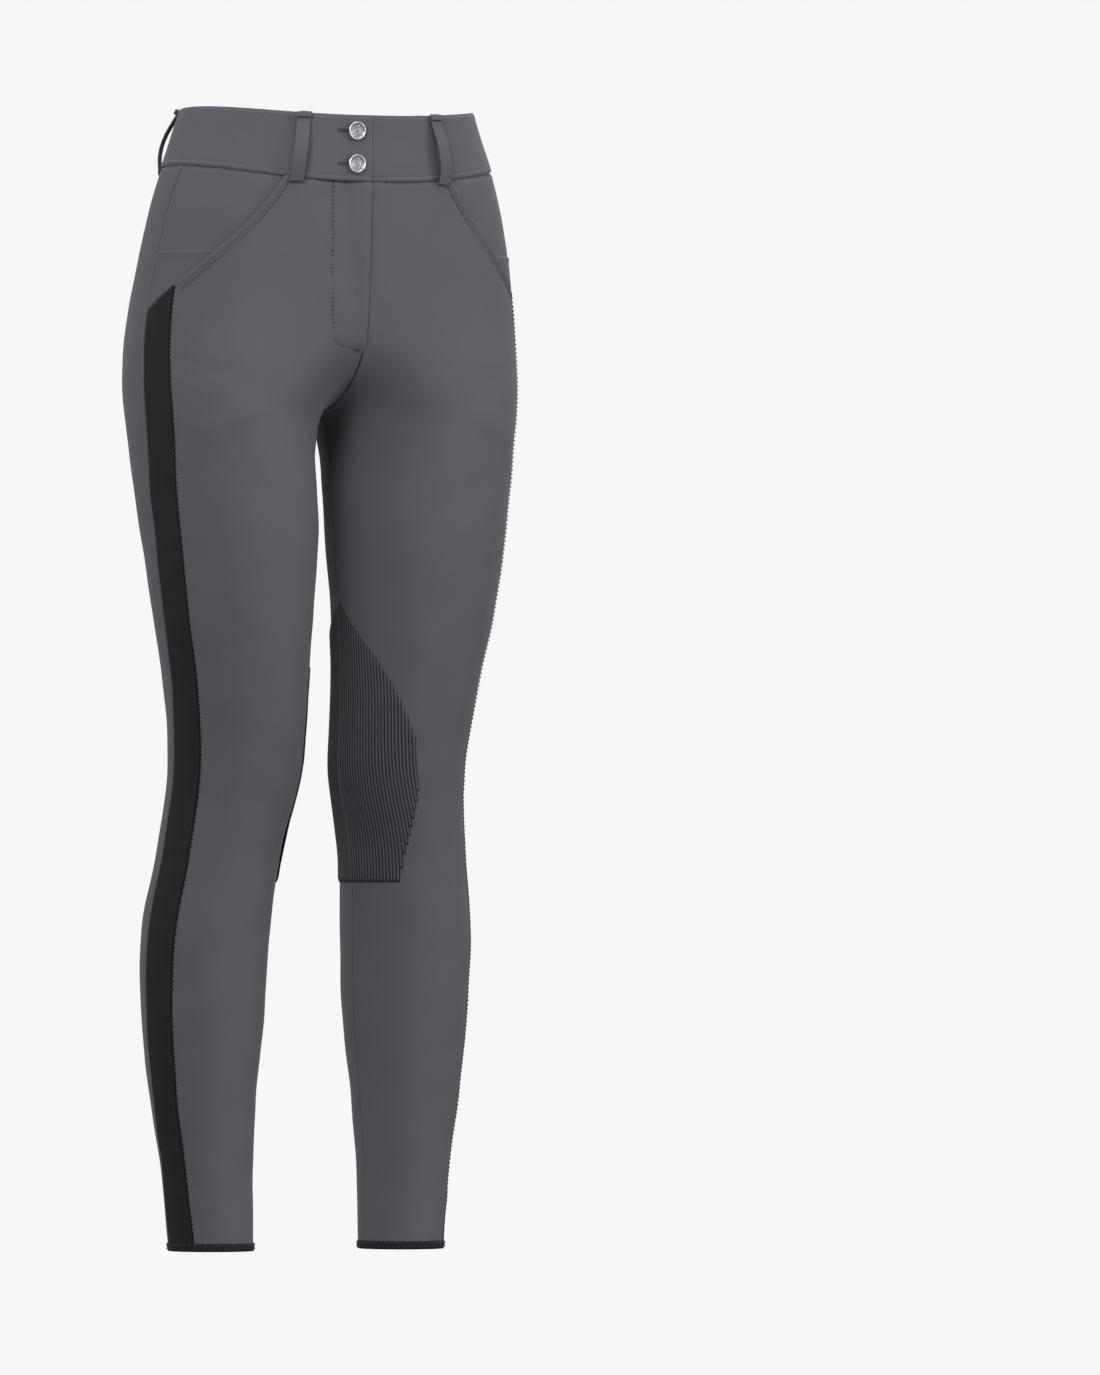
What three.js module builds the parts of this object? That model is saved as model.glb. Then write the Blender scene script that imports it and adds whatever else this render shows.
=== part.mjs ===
import * as THREE from 'three';

// Women's riding breeches, as worn: high contoured waistband, legs to the ankle.
// Millimetres, +Z up, the front faces -Y and the wearer's right side is at -X.
// The origin is at the middle of the waist, where the wearer holds the garment.

// Driving sizes of the cloth and of the made-up pieces
const cloth = 1.6;
const bandCloth = 2.0;
const thinCloth = 1.0;
const seamGap = 0.3;
const layerGap = 0.95;
const waistTop = 27;
const waistSeam = -24.5;
const topDipFront = 8.8;
const seamDipFront = 15.7;
const seamDipBack = 3.2;
const waistSettle = -60;
const crotchHeight = -238;
const hemHeight = -973;
const bindingHeight = 7;
const bindingProud = 0.7;
const bluntEnd = 1.5;

// One row for each cross section of the wearer's left half.
// centre and middle place the section, fold is the distance at which it turns into
// the centre line, a power above 2 is squarer and skew moves the outer side forward.
const sectionColumns = [
  'height', 'centre', 'middle', 'halfWidth', 'frontDepth', 'backDepth',
  'fold', 'frontPower', 'backPower', 'skew', 'turn',
];
const sections = [
  [32, 20, -3, 112, 93, 106, 20, 2.0, 2.0, 0, 0],
  [0, 20, -2, 123, 92, 111, 20, 2.1, 1.95, 0, 0],
  [-28, 22, 0, 131, 94, 115, 22, 2.2, 1.9, 0, 0],
  [-60, 26, 1, 136, 93, 129, 26, 2.3, 1.85, 0, 0],
  [-95, 34, 2, 136, 92, 143, 34, 2.3, 1.85, 0, 0],
  [-130, 46, 4, 131, 91, 151, 43, 2.3, 1.85, 0, 0],
  [-165, 63, 7, 117, 92, 149, 40, 2.2, 1.88, 2, 0],
  [-200, 79.5, 11, 99, 96.5, 134, 22, 2.1, 1.93, 4.5, 0],
  [-220, 87, 13.5, 91, 99, 121, 13, 2.05, 1.97, 5.5, 0],
  [-238, 92, 15, 85, 100, 108.5, 7, 2.02, 2.0, 6, 0],
  [-270, 94, 15.5, 80.5, 99.5, 93.5, 5, 2.0, 2.0, 5, 0],
  [-306, 92.5, 13, 79, 95.5, 86, 4, 2.0, 2.0, 3, 0],
  [-341, 90, 10, 77, 91, 82, 3, 2.0, 2.0, 2, 0],
  [-411, 87, 8, 70, 80, 75, 2, 2.0, 2.0, 1, 1],
  [-482, 82, 12, 62, 70, 69, 1, 2.0, 2.0, 0, 3],
  [-552, 79, 21, 58, 63, 63, 0, 2.0, 2.0, 0, 6],
  [-622, 89, 31, 54, 58, 61, 0, 2.0, 2.0, 0, 8],
  [-692, 97, 41, 56, 60, 64, 0, 2.0, 2.0, 0, 8],
  [-762, 98, 45, 54, 57, 61, 0, 2.0, 2.0, 0, 8],
  [-832, 98, 45, 47, 50, 53, 0, 2.0, 2.0, 0, 7],
  [-902, 95, 43, 40, 43, 45, 0, 2.0, 2.0, 0, 6],
  [-973, 92, 41, 37, 39, 40, 0, 2.0, 2.0, 0, 5],
];

// Seams as millimetres round from the side line, minus to the front, plus to the back
const legSeamColumns = ['height', 'stripeFront', 'stripeBack', 'seatSeam'];
const legSeams = [
  [-131, -41.5, -8, 150],
  [-155, -41.5, -8, 153],
  [-194, -44, -9, 153],
  [-214, -47, -11, 138],
  [-235, -49.5, -13.5, 122],
  [-259, -50.5, -14.5, 113],
  [-328, -46, -11, 107.5],
  [-393, -42.5, -7.5, 101.5],
  [-430, -41, -7, 98.5],
  [-475, -41, -6.5, 93.5],
  [-540, -42, -5, 86],
  [-610, -43.5, -7.5, 82],
  [-650, -45, -9, 85],
  [-700, -45, -9.5, 88.5],
  [-745, -42.5, -8, 88],
  [-800, -38.5, -4, 83],
  [-860, -33, 1, 75],
  [-910, -30.5, 4, 70],
  [-973, -31, 5, 67.5],
];
const pocketColumns = ['height', 'mouth', 'sideSeam'];
const pocketSeams = [
  [-28, -125.5, -23],
  [-50, -116, -18],
  [-67, -106, -16],
  [-85, -91.5, -15],
  [-103, -73, -14.5],
  [-117, -58.5, -14.5],
  [-131, -41.5, -13],
  [-155, -16, -9],
];
const stripeTop = -131;
const stripeHeel = -153.5;
const stripeTip = -132;
const facingTip = -151;

// The seat seam arches over the back: a quarter of an oval from the centre back
const archTop = -103.5;
const archDrop = 90.5;
const archReach = 115;
const archPower = 0.9;
const archSteepest = 25;

// Knee grip patches as millimetres from the inseam. The left one reaches further round
// to the front than the right one.
const gripColumns = ['height', 'frontLeft', 'frontRight', 'back'];
const gripReach = [
  [-406, 2, 2, 2],
  [-418, 12, 8, 20],
  [-436, 29, 15, 40],
  [-455, 45, 19, 57],
  [-478, 59, 21, 71],
  [-502, 70, 21.5, 81],
  [-523, 77, 20.5, 87],
  [-548, 80, 19.5, 88],
  [-573, 76, 18, 81],
  [-600, 65, 16.5, 70],
  [-626, 55, 15.5, 61],
  [-650, 50, 15, 55],
];

// Belt loops, buttons and welt pockets
const loopWidth = 12;
const loopCloth = 2.2;
const loopFront = -0.655;
const loopSide = 0.32;
const buttonRadius = 8.25;
const buttonFromEdge = 16;
const buttonHeights = [4.4, -24.4];
const phonePocketTop = -100;
const weltStart = 71;
const weltEnd = 188;
const weltHeight = -54;
const weltArch = 2;
const weltLip = 4.8;
const weltSlit = 0.6;

// Values of one named column between the rows: a smooth curve through them
function column(table, columns, name, height) {
  const index = columns.indexOf(name);
  const last = table.length - 1;
  const at = Math.min(Math.max(height, table[last][0]), table[0][0]);
  let row = 0;
  while (row < last - 1 && at < table[row + 1][0]) row += 1;
  const step = (i) => table[i + 1][0] - table[i][0];
  const rise = (i) => (table[i + 1][index] - table[i][index]) / step(i);
  const slope = (i) => {
    if (i === 0) return rise(0);
    if (i === last) return rise(last - 1);
    return (step(i - 1) * rise(i) + step(i) * rise(i - 1)) / (step(i - 1) + step(i));
  };
  const span = step(row);
  const t = (at - table[row][0]) / span;
  const startWeight = 2 * t ** 3 - 3 * t ** 2 + 1;
  const startPull = (t ** 3 - 2 * t ** 2 + t) * span * slope(row);
  const endPull = (t ** 3 - t ** 2) * span * slope(row + 1);
  return startWeight * table[row][index] + startPull
    + (1 - startWeight) * table[row + 1][index] + endPull;
}

function smoothStep(from, to, value) {
  const t = Math.min(Math.max((value - from) / (to - from), 0), 1);
  return t * t * (3 - 2 * t);
}

const signedPower = (value, power) => Math.sign(value) * Math.abs(value) ** power;

// Half of one section as a fine line of points with its running length,
// from the side line to the centre front, or to the centre back
const ringSteps = 140;
const ringCache = new Map();
function halfRing(height, towards) {
  const key = `${height.toFixed(4)} ${towards}`;
  if (ringCache.has(key)) return ringCache.get(key);
  const s = {};
  for (const name of sectionColumns) {
    s[name] = column(sections, sectionColumns, name, height);
  }
  const power = towards < 0 ? s.frontPower : s.backPower;
  const depth = towards < 0 ? s.frontDepth : s.backDepth;
  const turnIn = Math.min(Math.max((s.fold - s.centre) / s.halfWidth, -1), 1);
  const lastAngle = Math.acos(signedPower(turnIn, power / 2));
  const turn = THREE.MathUtils.degToRad(s.turn);
  const points = [];
  const lengths = [0];
  for (let i = 0; i <= ringSteps; i += 1) {
    const angle = lastAngle * (1 - (1 - i / ringSteps) ** 2);
    const across = s.halfWidth * signedPower(Math.cos(angle), 2 / power);
    const along = towards * depth * signedPower(Math.sin(angle), 2 / power)
      - s.skew * across / s.halfWidth;
    const out = s.centre + across * Math.cos(turn) - along * Math.sin(turn);
    const x = Math.sqrt(Math.max(out * out - s.fold * s.fold, 0));
    const y = s.middle + along * Math.cos(turn) + across * Math.sin(turn);
    points.push(new THREE.Vector3(x, y, height));
    if (i > 0) lengths.push(lengths[i - 1] + points[i].distanceTo(points[i - 1]));
  }
  const ring = { points, lengths, girth: lengths[ringSteps] };
  ringCache.set(key, ring);
  return ring;
}

const halfGirth = (height, towards) => halfRing(height, towards).girth;

// A point of the outer surface, so many millimetres round from the side line.
// Past a centre line it goes on into the other half, past an inseam round the leg.
function around(distance, height) {
  const towards = distance < 0 ? -1 : 1;
  const ring = halfRing(height, towards);
  const length = Math.abs(distance);
  if (length > ring.girth) {
    const past = length - ring.girth;
    if (height > crotchHeight) {
      const point = around(towards * (ring.girth - past), height);
      return new THREE.Vector3(-point.x, point.y, point.z);
    }
    return around(-towards * (halfGirth(height, -towards) - past), height);
  }
  let low = 0;
  let high = ringSteps;
  while (high - low > 1) {
    const mid = (low + high) >> 1;
    if (ring.lengths[mid] > length) high = mid;
    else low = mid;
  }
  const part = (length - ring.lengths[low]) / (ring.lengths[high] - ring.lengths[low]);
  return ring.points[low].clone().lerp(ring.points[high], part);
}

// The direction that points out of the cloth
const feeler = 0.8;
function outward(distance, height) {
  const share = distance / halfGirth(height, distance < 0 ? -1 : 1);
  const upper = height + feeler;
  const lower = height - feeler;
  const at = (h) => around(share * halfGirth(h, distance < 0 ? -1 : 1), h);
  const acrossSide = around(distance + feeler, height).sub(around(distance - feeler, height));
  const upSide = at(upper).sub(at(lower));
  return new THREE.Vector3().crossVectors(acrossSide, upSide).normalize();
}

function skin(distance, height, out) {
  return around(distance, height).addScaledVector(outward(distance, height), out);
}

// Rows follow the dipped top edge and waist seam, and level out below them
function dip(share, inFront, behind) {
  return (share < 0 ? inFront : behind) * (1 - (1 - share * share) ** 3);
}

function rowHeight(base, share) {
  const seamDip = dip(share, seamDipFront, seamDipBack);
  if (base > waistSeam) {
    const part = (base - waistSeam) / (waistTop - waistSeam);
    return base - seamDip - (dip(share, topDipFront, 0) - seamDip) * part;
  }
  return base - seamDip * Math.max(base - waistSettle, 0) / (waistSeam - waistSettle);
}

// Edges of the panels: millimetres round from the side line at a height
const edges = {
  frontCentre: (height) => -halfGirth(height, -1),
  backCentre: (height) => halfGirth(height, 1),
  frontSide: (height) => (height > stripeTop
    ? column(pocketSeams, pocketColumns, 'mouth', height)
    : column(legSeams, legSeamColumns, 'stripeFront', height)),
  facingFront: (height) => (height > stripeTop
    ? column(pocketSeams, pocketColumns, 'mouth', height)
    : stripeSlant(height)),
  facingBack: (height) => column(pocketSeams, pocketColumns, 'sideSeam', height),
  stripeFront: (height) => column(legSeams, legSeamColumns, 'stripeFront', height),
  stripeBack: (height) => (height > stripeHeel
    ? stripeSlant(height)
    : column(legSeams, legSeamColumns, 'stripeBack', height)),
  backSide: (height) => (height > stripeHeel
    ? column(pocketSeams, pocketColumns, 'sideSeam', height)
    : column(legSeams, legSeamColumns, 'stripeBack', height)),
  seat: (height) => {
    if (height > archTop) return halfGirth(height, 1);
    if (height < archTop - archDrop) {
      return column(legSeams, legSeamColumns, 'seatSeam', height);
    }
    const angle = Math.acos(1 - (archTop - height) / archDrop);
    return halfGirth(height, 1) - archReach * Math.sin(angle) ** archPower;
  },
};

// The slanted top of the side stripe
function stripeSlant(height) {
  const front = column(legSeams, legSeamColumns, 'stripeFront', stripeTop);
  const back = column(legSeams, legSeamColumns, 'stripeBack', stripeHeel);
  return front + (back - front) * (stripeTop - height) / (stripeTop - stripeHeel);
}

// An edge moved into its own panel by half of the seam gap, measured across the seam
function insetEdge(edge, height, into) {
  const slope = Math.min(Math.abs(edge(height + 1) - edge(height - 1)) / 2, archSteepest);
  const centreLine = edge === edges.frontCentre || edge === edges.backCentre;
  const factor = centreLine ? 1 : Math.sqrt(1 + slope * slope);
  return edge(height) + into * factor * seamGap / 2;
}

// A closed wall from two grids of points: the outer face and the inner one
function wallGeometry(outer, inner, closedRing) {
  const rows = outer.length;
  const columns = outer[0].length;
  const positions = [];
  for (const grid of [outer, inner]) {
    for (const row of grid) {
      for (const point of row) positions.push(point.x, point.y, point.z);
    }
  }
  const outside = (r, c) => r * columns + (c % columns);
  const inside = (r, c) => rows * columns + outside(r, c);
  const faces = [];
  const quad = (a, b, c, d) => faces.push(a, b, c, a, c, d);
  const spans = closedRing ? columns : columns - 1;
  for (let r = 0; r < rows - 1; r += 1) {
    for (let c = 0; c < spans; c += 1) {
      quad(outside(r, c), outside(r + 1, c), outside(r + 1, c + 1), outside(r, c + 1));
      quad(inside(r, c), inside(r, c + 1), inside(r + 1, c + 1), inside(r + 1, c));
    }
  }
  for (let c = 0; c < spans; c += 1) {
    quad(outside(0, c), outside(0, c + 1), inside(0, c + 1), inside(0, c));
    const r = rows - 1;
    quad(outside(r, c), inside(r, c), inside(r, c + 1), outside(r, c + 1));
  }
  if (!closedRing) {
    for (let r = 0; r < rows - 1; r += 1) {
      quad(outside(r, 0), inside(r, 0), inside(r + 1, 0), outside(r + 1, 0));
      const c = columns - 1;
      quad(outside(r, c), outside(r + 1, c), inside(r + 1, c), inside(r, c));
    }
  }
  return facingOut(positions, faces);
}

// Turns the faces over where they enclose a negative volume
function facingOut(positions, faces) {
  const corner = (i) => new THREE.Vector3().fromArray(positions, 3 * i);
  let volume = 0;
  for (let i = 0; i < faces.length; i += 3) {
    const [a, b, c] = [corner(faces[i]), corner(faces[i + 1]), corner(faces[i + 2])];
    volume += a.dot(b.cross(c));
  }
  if (volume < 0) faces.reverse();
  const geometry = new THREE.BufferGeometry();
  geometry.setAttribute('position', new THREE.Float32BufferAttribute(positions, 3));
  geometry.setIndex(faces);
  geometry.computeVertexNormals();
  return geometry;
}

const mirrored = (point) => new THREE.Vector3(-point.x, point.y, point.z);

const materials = {
  softshell: { color: '#646167', roughness: 0.9, metalness: 0 },
  stripe: { color: '#2b2c2f', roughness: 0.6, metalness: 0 },
  grip: { color: '#403e43', roughness: 0.8, metalness: 0 },
  binding: { color: '#2a292d', roughness: 0.7, metalness: 0 },
  steel: { color: '#bfbdc0', roughness: 0.3, metalness: 1 },
};

const breeches = new THREE.Group();

function addPiece(name, geometry, finish) {
  const mesh = new THREE.Mesh(geometry, new THREE.MeshStandardMaterial(materials[finish]));
  mesh.name = name;
  breeches.add(mesh);
  return mesh;
}

const sides = [['left', (point) => point], ['right', mirrored]];

// Heights at which the seams have a row of points, closer at the arch and the crotch.
// Above the thigh the side seam and the seat seam each have their own, so that the rows
// between them fan out from the top of the arch.
const sideRows = [-38, -49, -60, -71, -82, -93, -104, -117, -131, -142, -153.5, -172];
const archRows = [-47, -66, -85, archTop, -105.2, -109, -115, -123, -133, -145, -158, -175];
const backRows = [-104.1, -112, -121, -132, -144, -156, -169, -182];
const crotchRows = [-194, -208, -220, -229, -234.5, -237.2, crotchHeight, -240.5, -247, -258];
const legRowCount = 22;
const legTop = -280;
const legBottom = hemHeight + bindingHeight + seamGap;
const legRows = Array.from({ length: legRowCount + 1 },
  (_, i) => legTop + (legBottom - legTop) * i / legRowCount);
const belowCrotch = [...crotchRows, ...legRows];
const belowWaist = waistSeam - seamGap;
const archStart = archRows.indexOf(archTop) + 1;
const stripeStart = sideRows.indexOf(stripeTop);

// A half girth that ignores the sudden turn of the sections into the crotch, so that the
// columns of points run straight down the thigh
const evenTop = -190;
const evenBottom = -300;
function evenGirth(height, towards) {
  if (height > evenTop || height < evenBottom) return halfGirth(height, towards);
  const upper = halfGirth(evenTop, towards);
  const lower = halfGirth(evenBottom, towards);
  return upper + (lower - upper) * smoothStep(-evenTop, -evenBottom, -height);
}

// A sewn panel between two seams: its wall, on the left half and on the right half.
// front and back are its edges, frontRows and backRows the heights of its rows on them.
const centreBlend = 6;
const centreCrowding = 1.35;
const settleTurns = 6;
function addPanel(name, finish, options) {
  const { front, back, frontRows, backRows = frontRows, spans, out = 0, wall = cloth } = options;
  const settle = (base, distanceAt) => {
    let height = base;
    let distance = 0;
    for (let turn = 0; turn < settleTurns; turn += 1) {
      distance = distanceAt(height);
      height = rowHeight(base, distance / halfGirth(height, distance < 0 ? -1 : 1));
    }
    return [distance, height];
  };
  const outer = [];
  const inner = [];
  frontRows.forEach((frontBase, row) => {
    const backBase = backRows[row];
    const [frontEnd, frontHeight] = settle(frontBase, (height) => insetEdge(front, height, 1));
    const [backSeam, backHeight] = settle(backBase, (height) => insetEdge(back, height, -1));
    const backEnd = Math.max(backSeam, frontEnd + bluntEnd);
    const evenFront = front === edges.frontCentre ? -evenGirth(frontHeight, -1) : frontEnd;
    const evenBack = back === edges.backCentre ? evenGirth(backHeight, 1) : backEnd;
    const cells = Array.from({ length: spans + 1 }, (_, i) => {
      const step = i / spans;
      let part = step;
      if (front === edges.frontCentre) part = step ** centreCrowding;
      if (back === edges.backCentre) part = 1 - (1 - step) ** centreCrowding;
      const distance = evenFront + (evenBack - evenFront) * part
        + (frontEnd - evenFront) * (1 - part) ** centreBlend
        + (backEnd - evenBack) * part ** centreBlend;
      return settle(frontBase + (backBase - frontBase) * part, () => distance);
    });
    outer.push(cells.map(([distance, height]) => skin(distance, height, out)));
    inner.push(cells.map(([distance, height]) => skin(distance, height, out - wall)));
  });
  for (const [side, shape] of sides) {
    const geometry = wallGeometry(
      outer.map((line) => line.map(shape)),
      inner.map((line) => line.map(shape)),
      false,
    );
    addPiece(`${name}_${side}`, geometry, finish);
  }
}

// Front: from the pocket mouth and the stripe to the centre front and the inseam
addPanel('front', 'softshell', {
  front: edges.frontCentre,
  back: edges.frontSide,
  frontRows: [belowWaist, ...sideRows, ...belowCrotch],
  spans: 8,
});

// Hip facing: shows behind the pocket mouth, as far back as the side seam
addPanel('hip_facing', 'softshell', {
  front: edges.facingFront,
  back: edges.facingBack,
  frontRows: [belowWaist, ...sideRows.slice(0, -2), facingTip],
  spans: 4,
});

// Phone pocket: a patch on the hip facing, open along its top edge
addPanel('phone_pocket', 'softshell', {
  front: edges.facingFront,
  back: edges.facingBack,
  frontRows: [phonePocketTop, ...sideRows.slice(6, -2)],
  spans: 4,
  out: layerGap + thinCloth,
  wall: thinCloth,
});

// Side stripe: slanted top below the pocket, then down to the hem
addPanel('stripe', 'stripe', {
  front: edges.stripeFront,
  back: edges.stripeBack,
  frontRows: [stripeTip, ...sideRows.slice(stripeStart + 1), ...belowCrotch],
  spans: 2,
});

// Outer back: from the side seam and the stripe to the centre back and the seat seam
addPanel('back_outer', 'softshell', {
  front: edges.backSide,
  back: edges.seat,
  frontRows: [belowWaist, ...sideRows, ...belowCrotch],
  backRows: [belowWaist, ...archRows, ...belowCrotch],
  spans: 6,
});

// Seat: under the arched seam, and the inner back of the leg down to the hem
addPanel('seat', 'softshell', {
  front: edges.seat,
  back: edges.backCentre,
  frontRows: [...archRows.slice(archStart), ...belowCrotch],
  backRows: [...backRows, ...belowCrotch],
  spans: 6,
});

// Knee grips: ribbed patches over the inseam, laid on the front and the seat panel
function inseamPoint(past, height, out) {
  const towards = past < 0 ? -1 : 1;
  return skin(towards * (halfGirth(height, towards) - Math.abs(past)), height, out);
}
const gripSpans = 12;
const gripFronts = { left: 'frontLeft', right: 'frontRight' };
for (const [side, shape] of sides) {
  const outer = [];
  const inner = [];
  for (const [height] of gripReach) {
    const front = -column(gripReach, gripColumns, gripFronts[side], height);
    const back = column(gripReach, gripColumns, 'back', height);
    const steps = Array.from({ length: gripSpans + 1 }, (_, i) => (
      front + (back - front) * i / gripSpans));
    outer.push(steps.map((past) => shape(inseamPoint(past, height, layerGap + thinCloth))));
    inner.push(steps.map((past) => shape(inseamPoint(past, height, layerGap))));
  }
  addPiece(`knee_grip_${side}`, wallGeometry(outer, inner, false), 'grip');
}

// Waistband: one strip round the waist. The end on the wearer's right lies on top at
// the centre front, the other end runs on below it.
const lapLength = 38;
const lapRise = 1.2;
const lapEase = 14;
const lapStart = 2.5;
const bandProud = 0.3;
const bandSpans = 24;
const bandRows = [waistTop, 10, -7, waistSeam + seamGap];
const bandEndGirth = halfGirth(0, -1);
const fromFront = (distance) => -1 + distance / bandEndGirth;
const halfShares = Array.from({ length: bandSpans }, (_, i) => -1 + 2 * i / bandSpans);
const bandStations = [
  { side: 1, share: fromFront(seamGap), onTop: true },
  ...halfShares.map((share) => ({ side: -1, share })),
  { side: 1, share: 1 },
  ...halfShares.slice(1).reverse().map((share) => ({ side: 1, share })),
  { side: 1, share: fromFront(lapEase) },
  { side: 1, share: fromFront(lapStart) },
  { side: 1, share: -1 },
  { side: -1, share: fromFront(lapLength / 2), below: true },
  { side: -1, share: fromFront(lapLength), below: true },
];
function lapOffset({ side, share, onTop, below }) {
  const fromCentre = (1 + share) * bandEndGirth;
  if (onTop) return lapRise;
  if (below) return -lapRise;
  if (share > 0) return 0;
  if (side < 0) return lapRise * (1 - smoothStep(lapLength, lapLength + lapEase, fromCentre));
  return -lapRise * (1 - smoothStep(lapStart, lapEase, fromCentre));
}
function bandGrid(depth) {
  return bandRows.map((base) => bandStations.map((station) => {
    const height = rowHeight(base, station.share);
    const distance = station.share * halfGirth(height, station.share < 0 ? -1 : 1);
    const point = skin(distance, height, bandProud + lapOffset(station) - depth);
    return station.side < 0 ? mirrored(point) : point;
  }));
}
addPiece('waistband', wallGeometry(bandGrid(0), bandGrid(bandCloth), false), 'softshell');

// Hem bindings: a narrow tape folded round each leg's edge
const hemSpans = 24;
function hemGrid(out, shape) {
  const front = halfGirth(hemHeight, -1);
  const whole = front + halfGirth(hemHeight, 1);
  return [hemHeight + bindingHeight, hemHeight].map((height) => (
    Array.from({ length: hemSpans }, (_, i) => shape(skin(whole * i / hemSpans - front, height, out)))
  ));
}
for (const [side, shape] of sides) {
  const inside = -cloth - bindingProud;
  const ring = wallGeometry(hemGrid(bindingProud, shape), hemGrid(inside, shape), true);
  addPiece(`hem_binding_${side}`, ring, 'binding');
}

// Belt loops: a strip fixed at the band's top edge and below the waist seam.
// Each row is a height on the band and how far the strip's middle stands off it.
const loopPath = [
  [26.5, 1.8], [21, 2.2], [14, 4.4], [7, 7.0], [0, 8.5],
  [-6.5, 8.9], [-13, 8.0], [-19, 5.6], [-23.5, 2.9], [-28.5, 1.9],
];
const loopLevel = -1;
const loopPlaces = [
  ['belt_loop_front_left', loopFront, 1],
  ['belt_loop_side_left', loopSide, 1],
  ['belt_loop_back', 1, 1],
  ['belt_loop_side_right', loopSide, -1],
  ['belt_loop_front_right', loopFront, -1],
];
function loopGeometry(share, side) {
  const towards = share < 0 ? -1 : 1;
  const middle = share * halfGirth(loopLevel, towards);
  const ahead = around(middle + feeler, loopLevel).sub(around(middle - feeler, loopLevel));
  ahead.setZ(0).normalize();
  const across = share === 1 ? new THREE.Vector3(-1, 0, 0) : ahead;
  const face = new THREE.Vector3(across.y, -across.x, 0);
  const foot = loopPath.map(([base]) => {
    const height = rowHeight(base, share);
    return around(share * halfGirth(height, towards), height);
  });
  const line = loopPath.map(([, out], i) => foot[i].clone().addScaledVector(face, out));
  const outer = [];
  const inner = [];
  for (const edge of [-loopWidth / 2, loopWidth / 2]) {
    const shifted = line.map((point) => point.clone().addScaledVector(across, edge));
    const normal = (i) => {
      const before = shifted[Math.max(i - 1, 0)];
      const after = shifted[Math.min(i + 1, shifted.length - 1)];
      return new THREE.Vector3().crossVectors(across, after.clone().sub(before)).normalize();
    };
    const moved = (amount) => shifted.map((point, i) => (
      point.clone().addScaledVector(normal(i), amount)));
    outer.push(moved(loopCloth / 2));
    inner.push(moved(-loopCloth / 2));
  }
  const shape = side < 0 ? mirrored : (point) => point;
  return wallGeometry(
    outer.map((row) => row.map(shape)),
    inner.map((row) => row.map(shape)),
    false,
  );
}
for (const [name, share, side] of loopPlaces) {
  addPiece(name, loopGeometry(share, side), 'softshell');
}

// Shank buttons: a turned cap with a raised rim over a short neck.
// Each row is a radius and a height over the cloth.
const buttonProfile = [
  [0, 0], [4, 0], [4, 1.0], [7.4, 1.2], [buttonRadius, 2.0], [buttonRadius - 0.4, 3.2],
  [buttonRadius - 1.6, 3.4], [buttonRadius - 2.4, 2.7], [0, 2.5],
].map(([radius, height]) => new THREE.Vector2(radius, height));
const buttonSides = 24;
buttonHeights.forEach((height, i) => {
  const distance = -(halfGirth(height, -1) - buttonFromEdge);
  const seat = mirrored(skin(distance, height, bandProud + lapRise + 2 * seamGap));
  const direction = mirrored(outward(distance, height));
  const mesh = addPiece(`button_${i + 1}`, new THREE.LatheGeometry(buttonProfile, buttonSides), 'steel');
  mesh.position.copy(seat);
  mesh.quaternion.setFromUnitVectors(new THREE.Vector3(0, 1, 0), direction);
});

// Welt pockets: two folded lips above and below a slit, on the outer back
const weltSpans = 8;
function weltGrid(top, bottom, out) {
  return [top, bottom].map((rise) => Array.from({ length: weltSpans + 1 }, (_, i) => {
    const part = i / weltSpans;
    const height = weltHeight + weltArch * Math.sin(Math.PI * part) + rise;
    const distance = weltStart + (weltEnd - weltStart) * part;
    return skin(distance, height, out);
  }));
}
const weltLips = [
  ['upper', weltSlit / 2 + weltLip, weltSlit / 2],
  ['lower', -weltSlit / 2, -weltSlit / 2 - weltLip],
];
for (const [lip, top, bottom] of weltLips) {
  for (const [side, shape] of sides) {
    const outer = weltGrid(top, bottom, layerGap + cloth).map((row) => row.map(shape));
    const inner = weltGrid(top, bottom, layerGap).map((row) => row.map(shape));
    addPiece(`welt_${lip}_${side}`, wallGeometry(outer, inner, false), 'softshell');
  }
}

export default breeches;
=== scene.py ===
import math

import bpy
import numpy as np
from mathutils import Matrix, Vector


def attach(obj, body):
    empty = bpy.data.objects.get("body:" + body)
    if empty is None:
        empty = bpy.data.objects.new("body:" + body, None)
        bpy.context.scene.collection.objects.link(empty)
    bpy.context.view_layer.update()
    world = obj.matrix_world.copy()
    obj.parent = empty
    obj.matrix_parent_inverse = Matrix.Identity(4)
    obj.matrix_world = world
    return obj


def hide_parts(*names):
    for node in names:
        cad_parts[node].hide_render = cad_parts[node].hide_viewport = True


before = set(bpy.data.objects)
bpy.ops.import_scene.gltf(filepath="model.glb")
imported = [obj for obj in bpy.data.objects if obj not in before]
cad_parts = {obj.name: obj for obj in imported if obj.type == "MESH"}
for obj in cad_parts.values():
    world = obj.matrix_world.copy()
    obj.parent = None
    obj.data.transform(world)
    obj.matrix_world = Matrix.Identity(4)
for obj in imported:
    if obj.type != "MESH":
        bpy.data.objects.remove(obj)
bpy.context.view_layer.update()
scene = bpy.context.scene
MM = 0.001


# Camera: a long lens on the front of the garment, a little from the wearer's right
# and level with the hips. Pixels are those of the 1100 by 1375 picture.
camera_distance = 12.0
camera_height = -0.62
camera_turn = math.radians(-25)
pixels_per_metre = 1140
picture_width, picture_height = 1100, 1375
axis_pixel, waist_pixel = 326, 141

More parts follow.
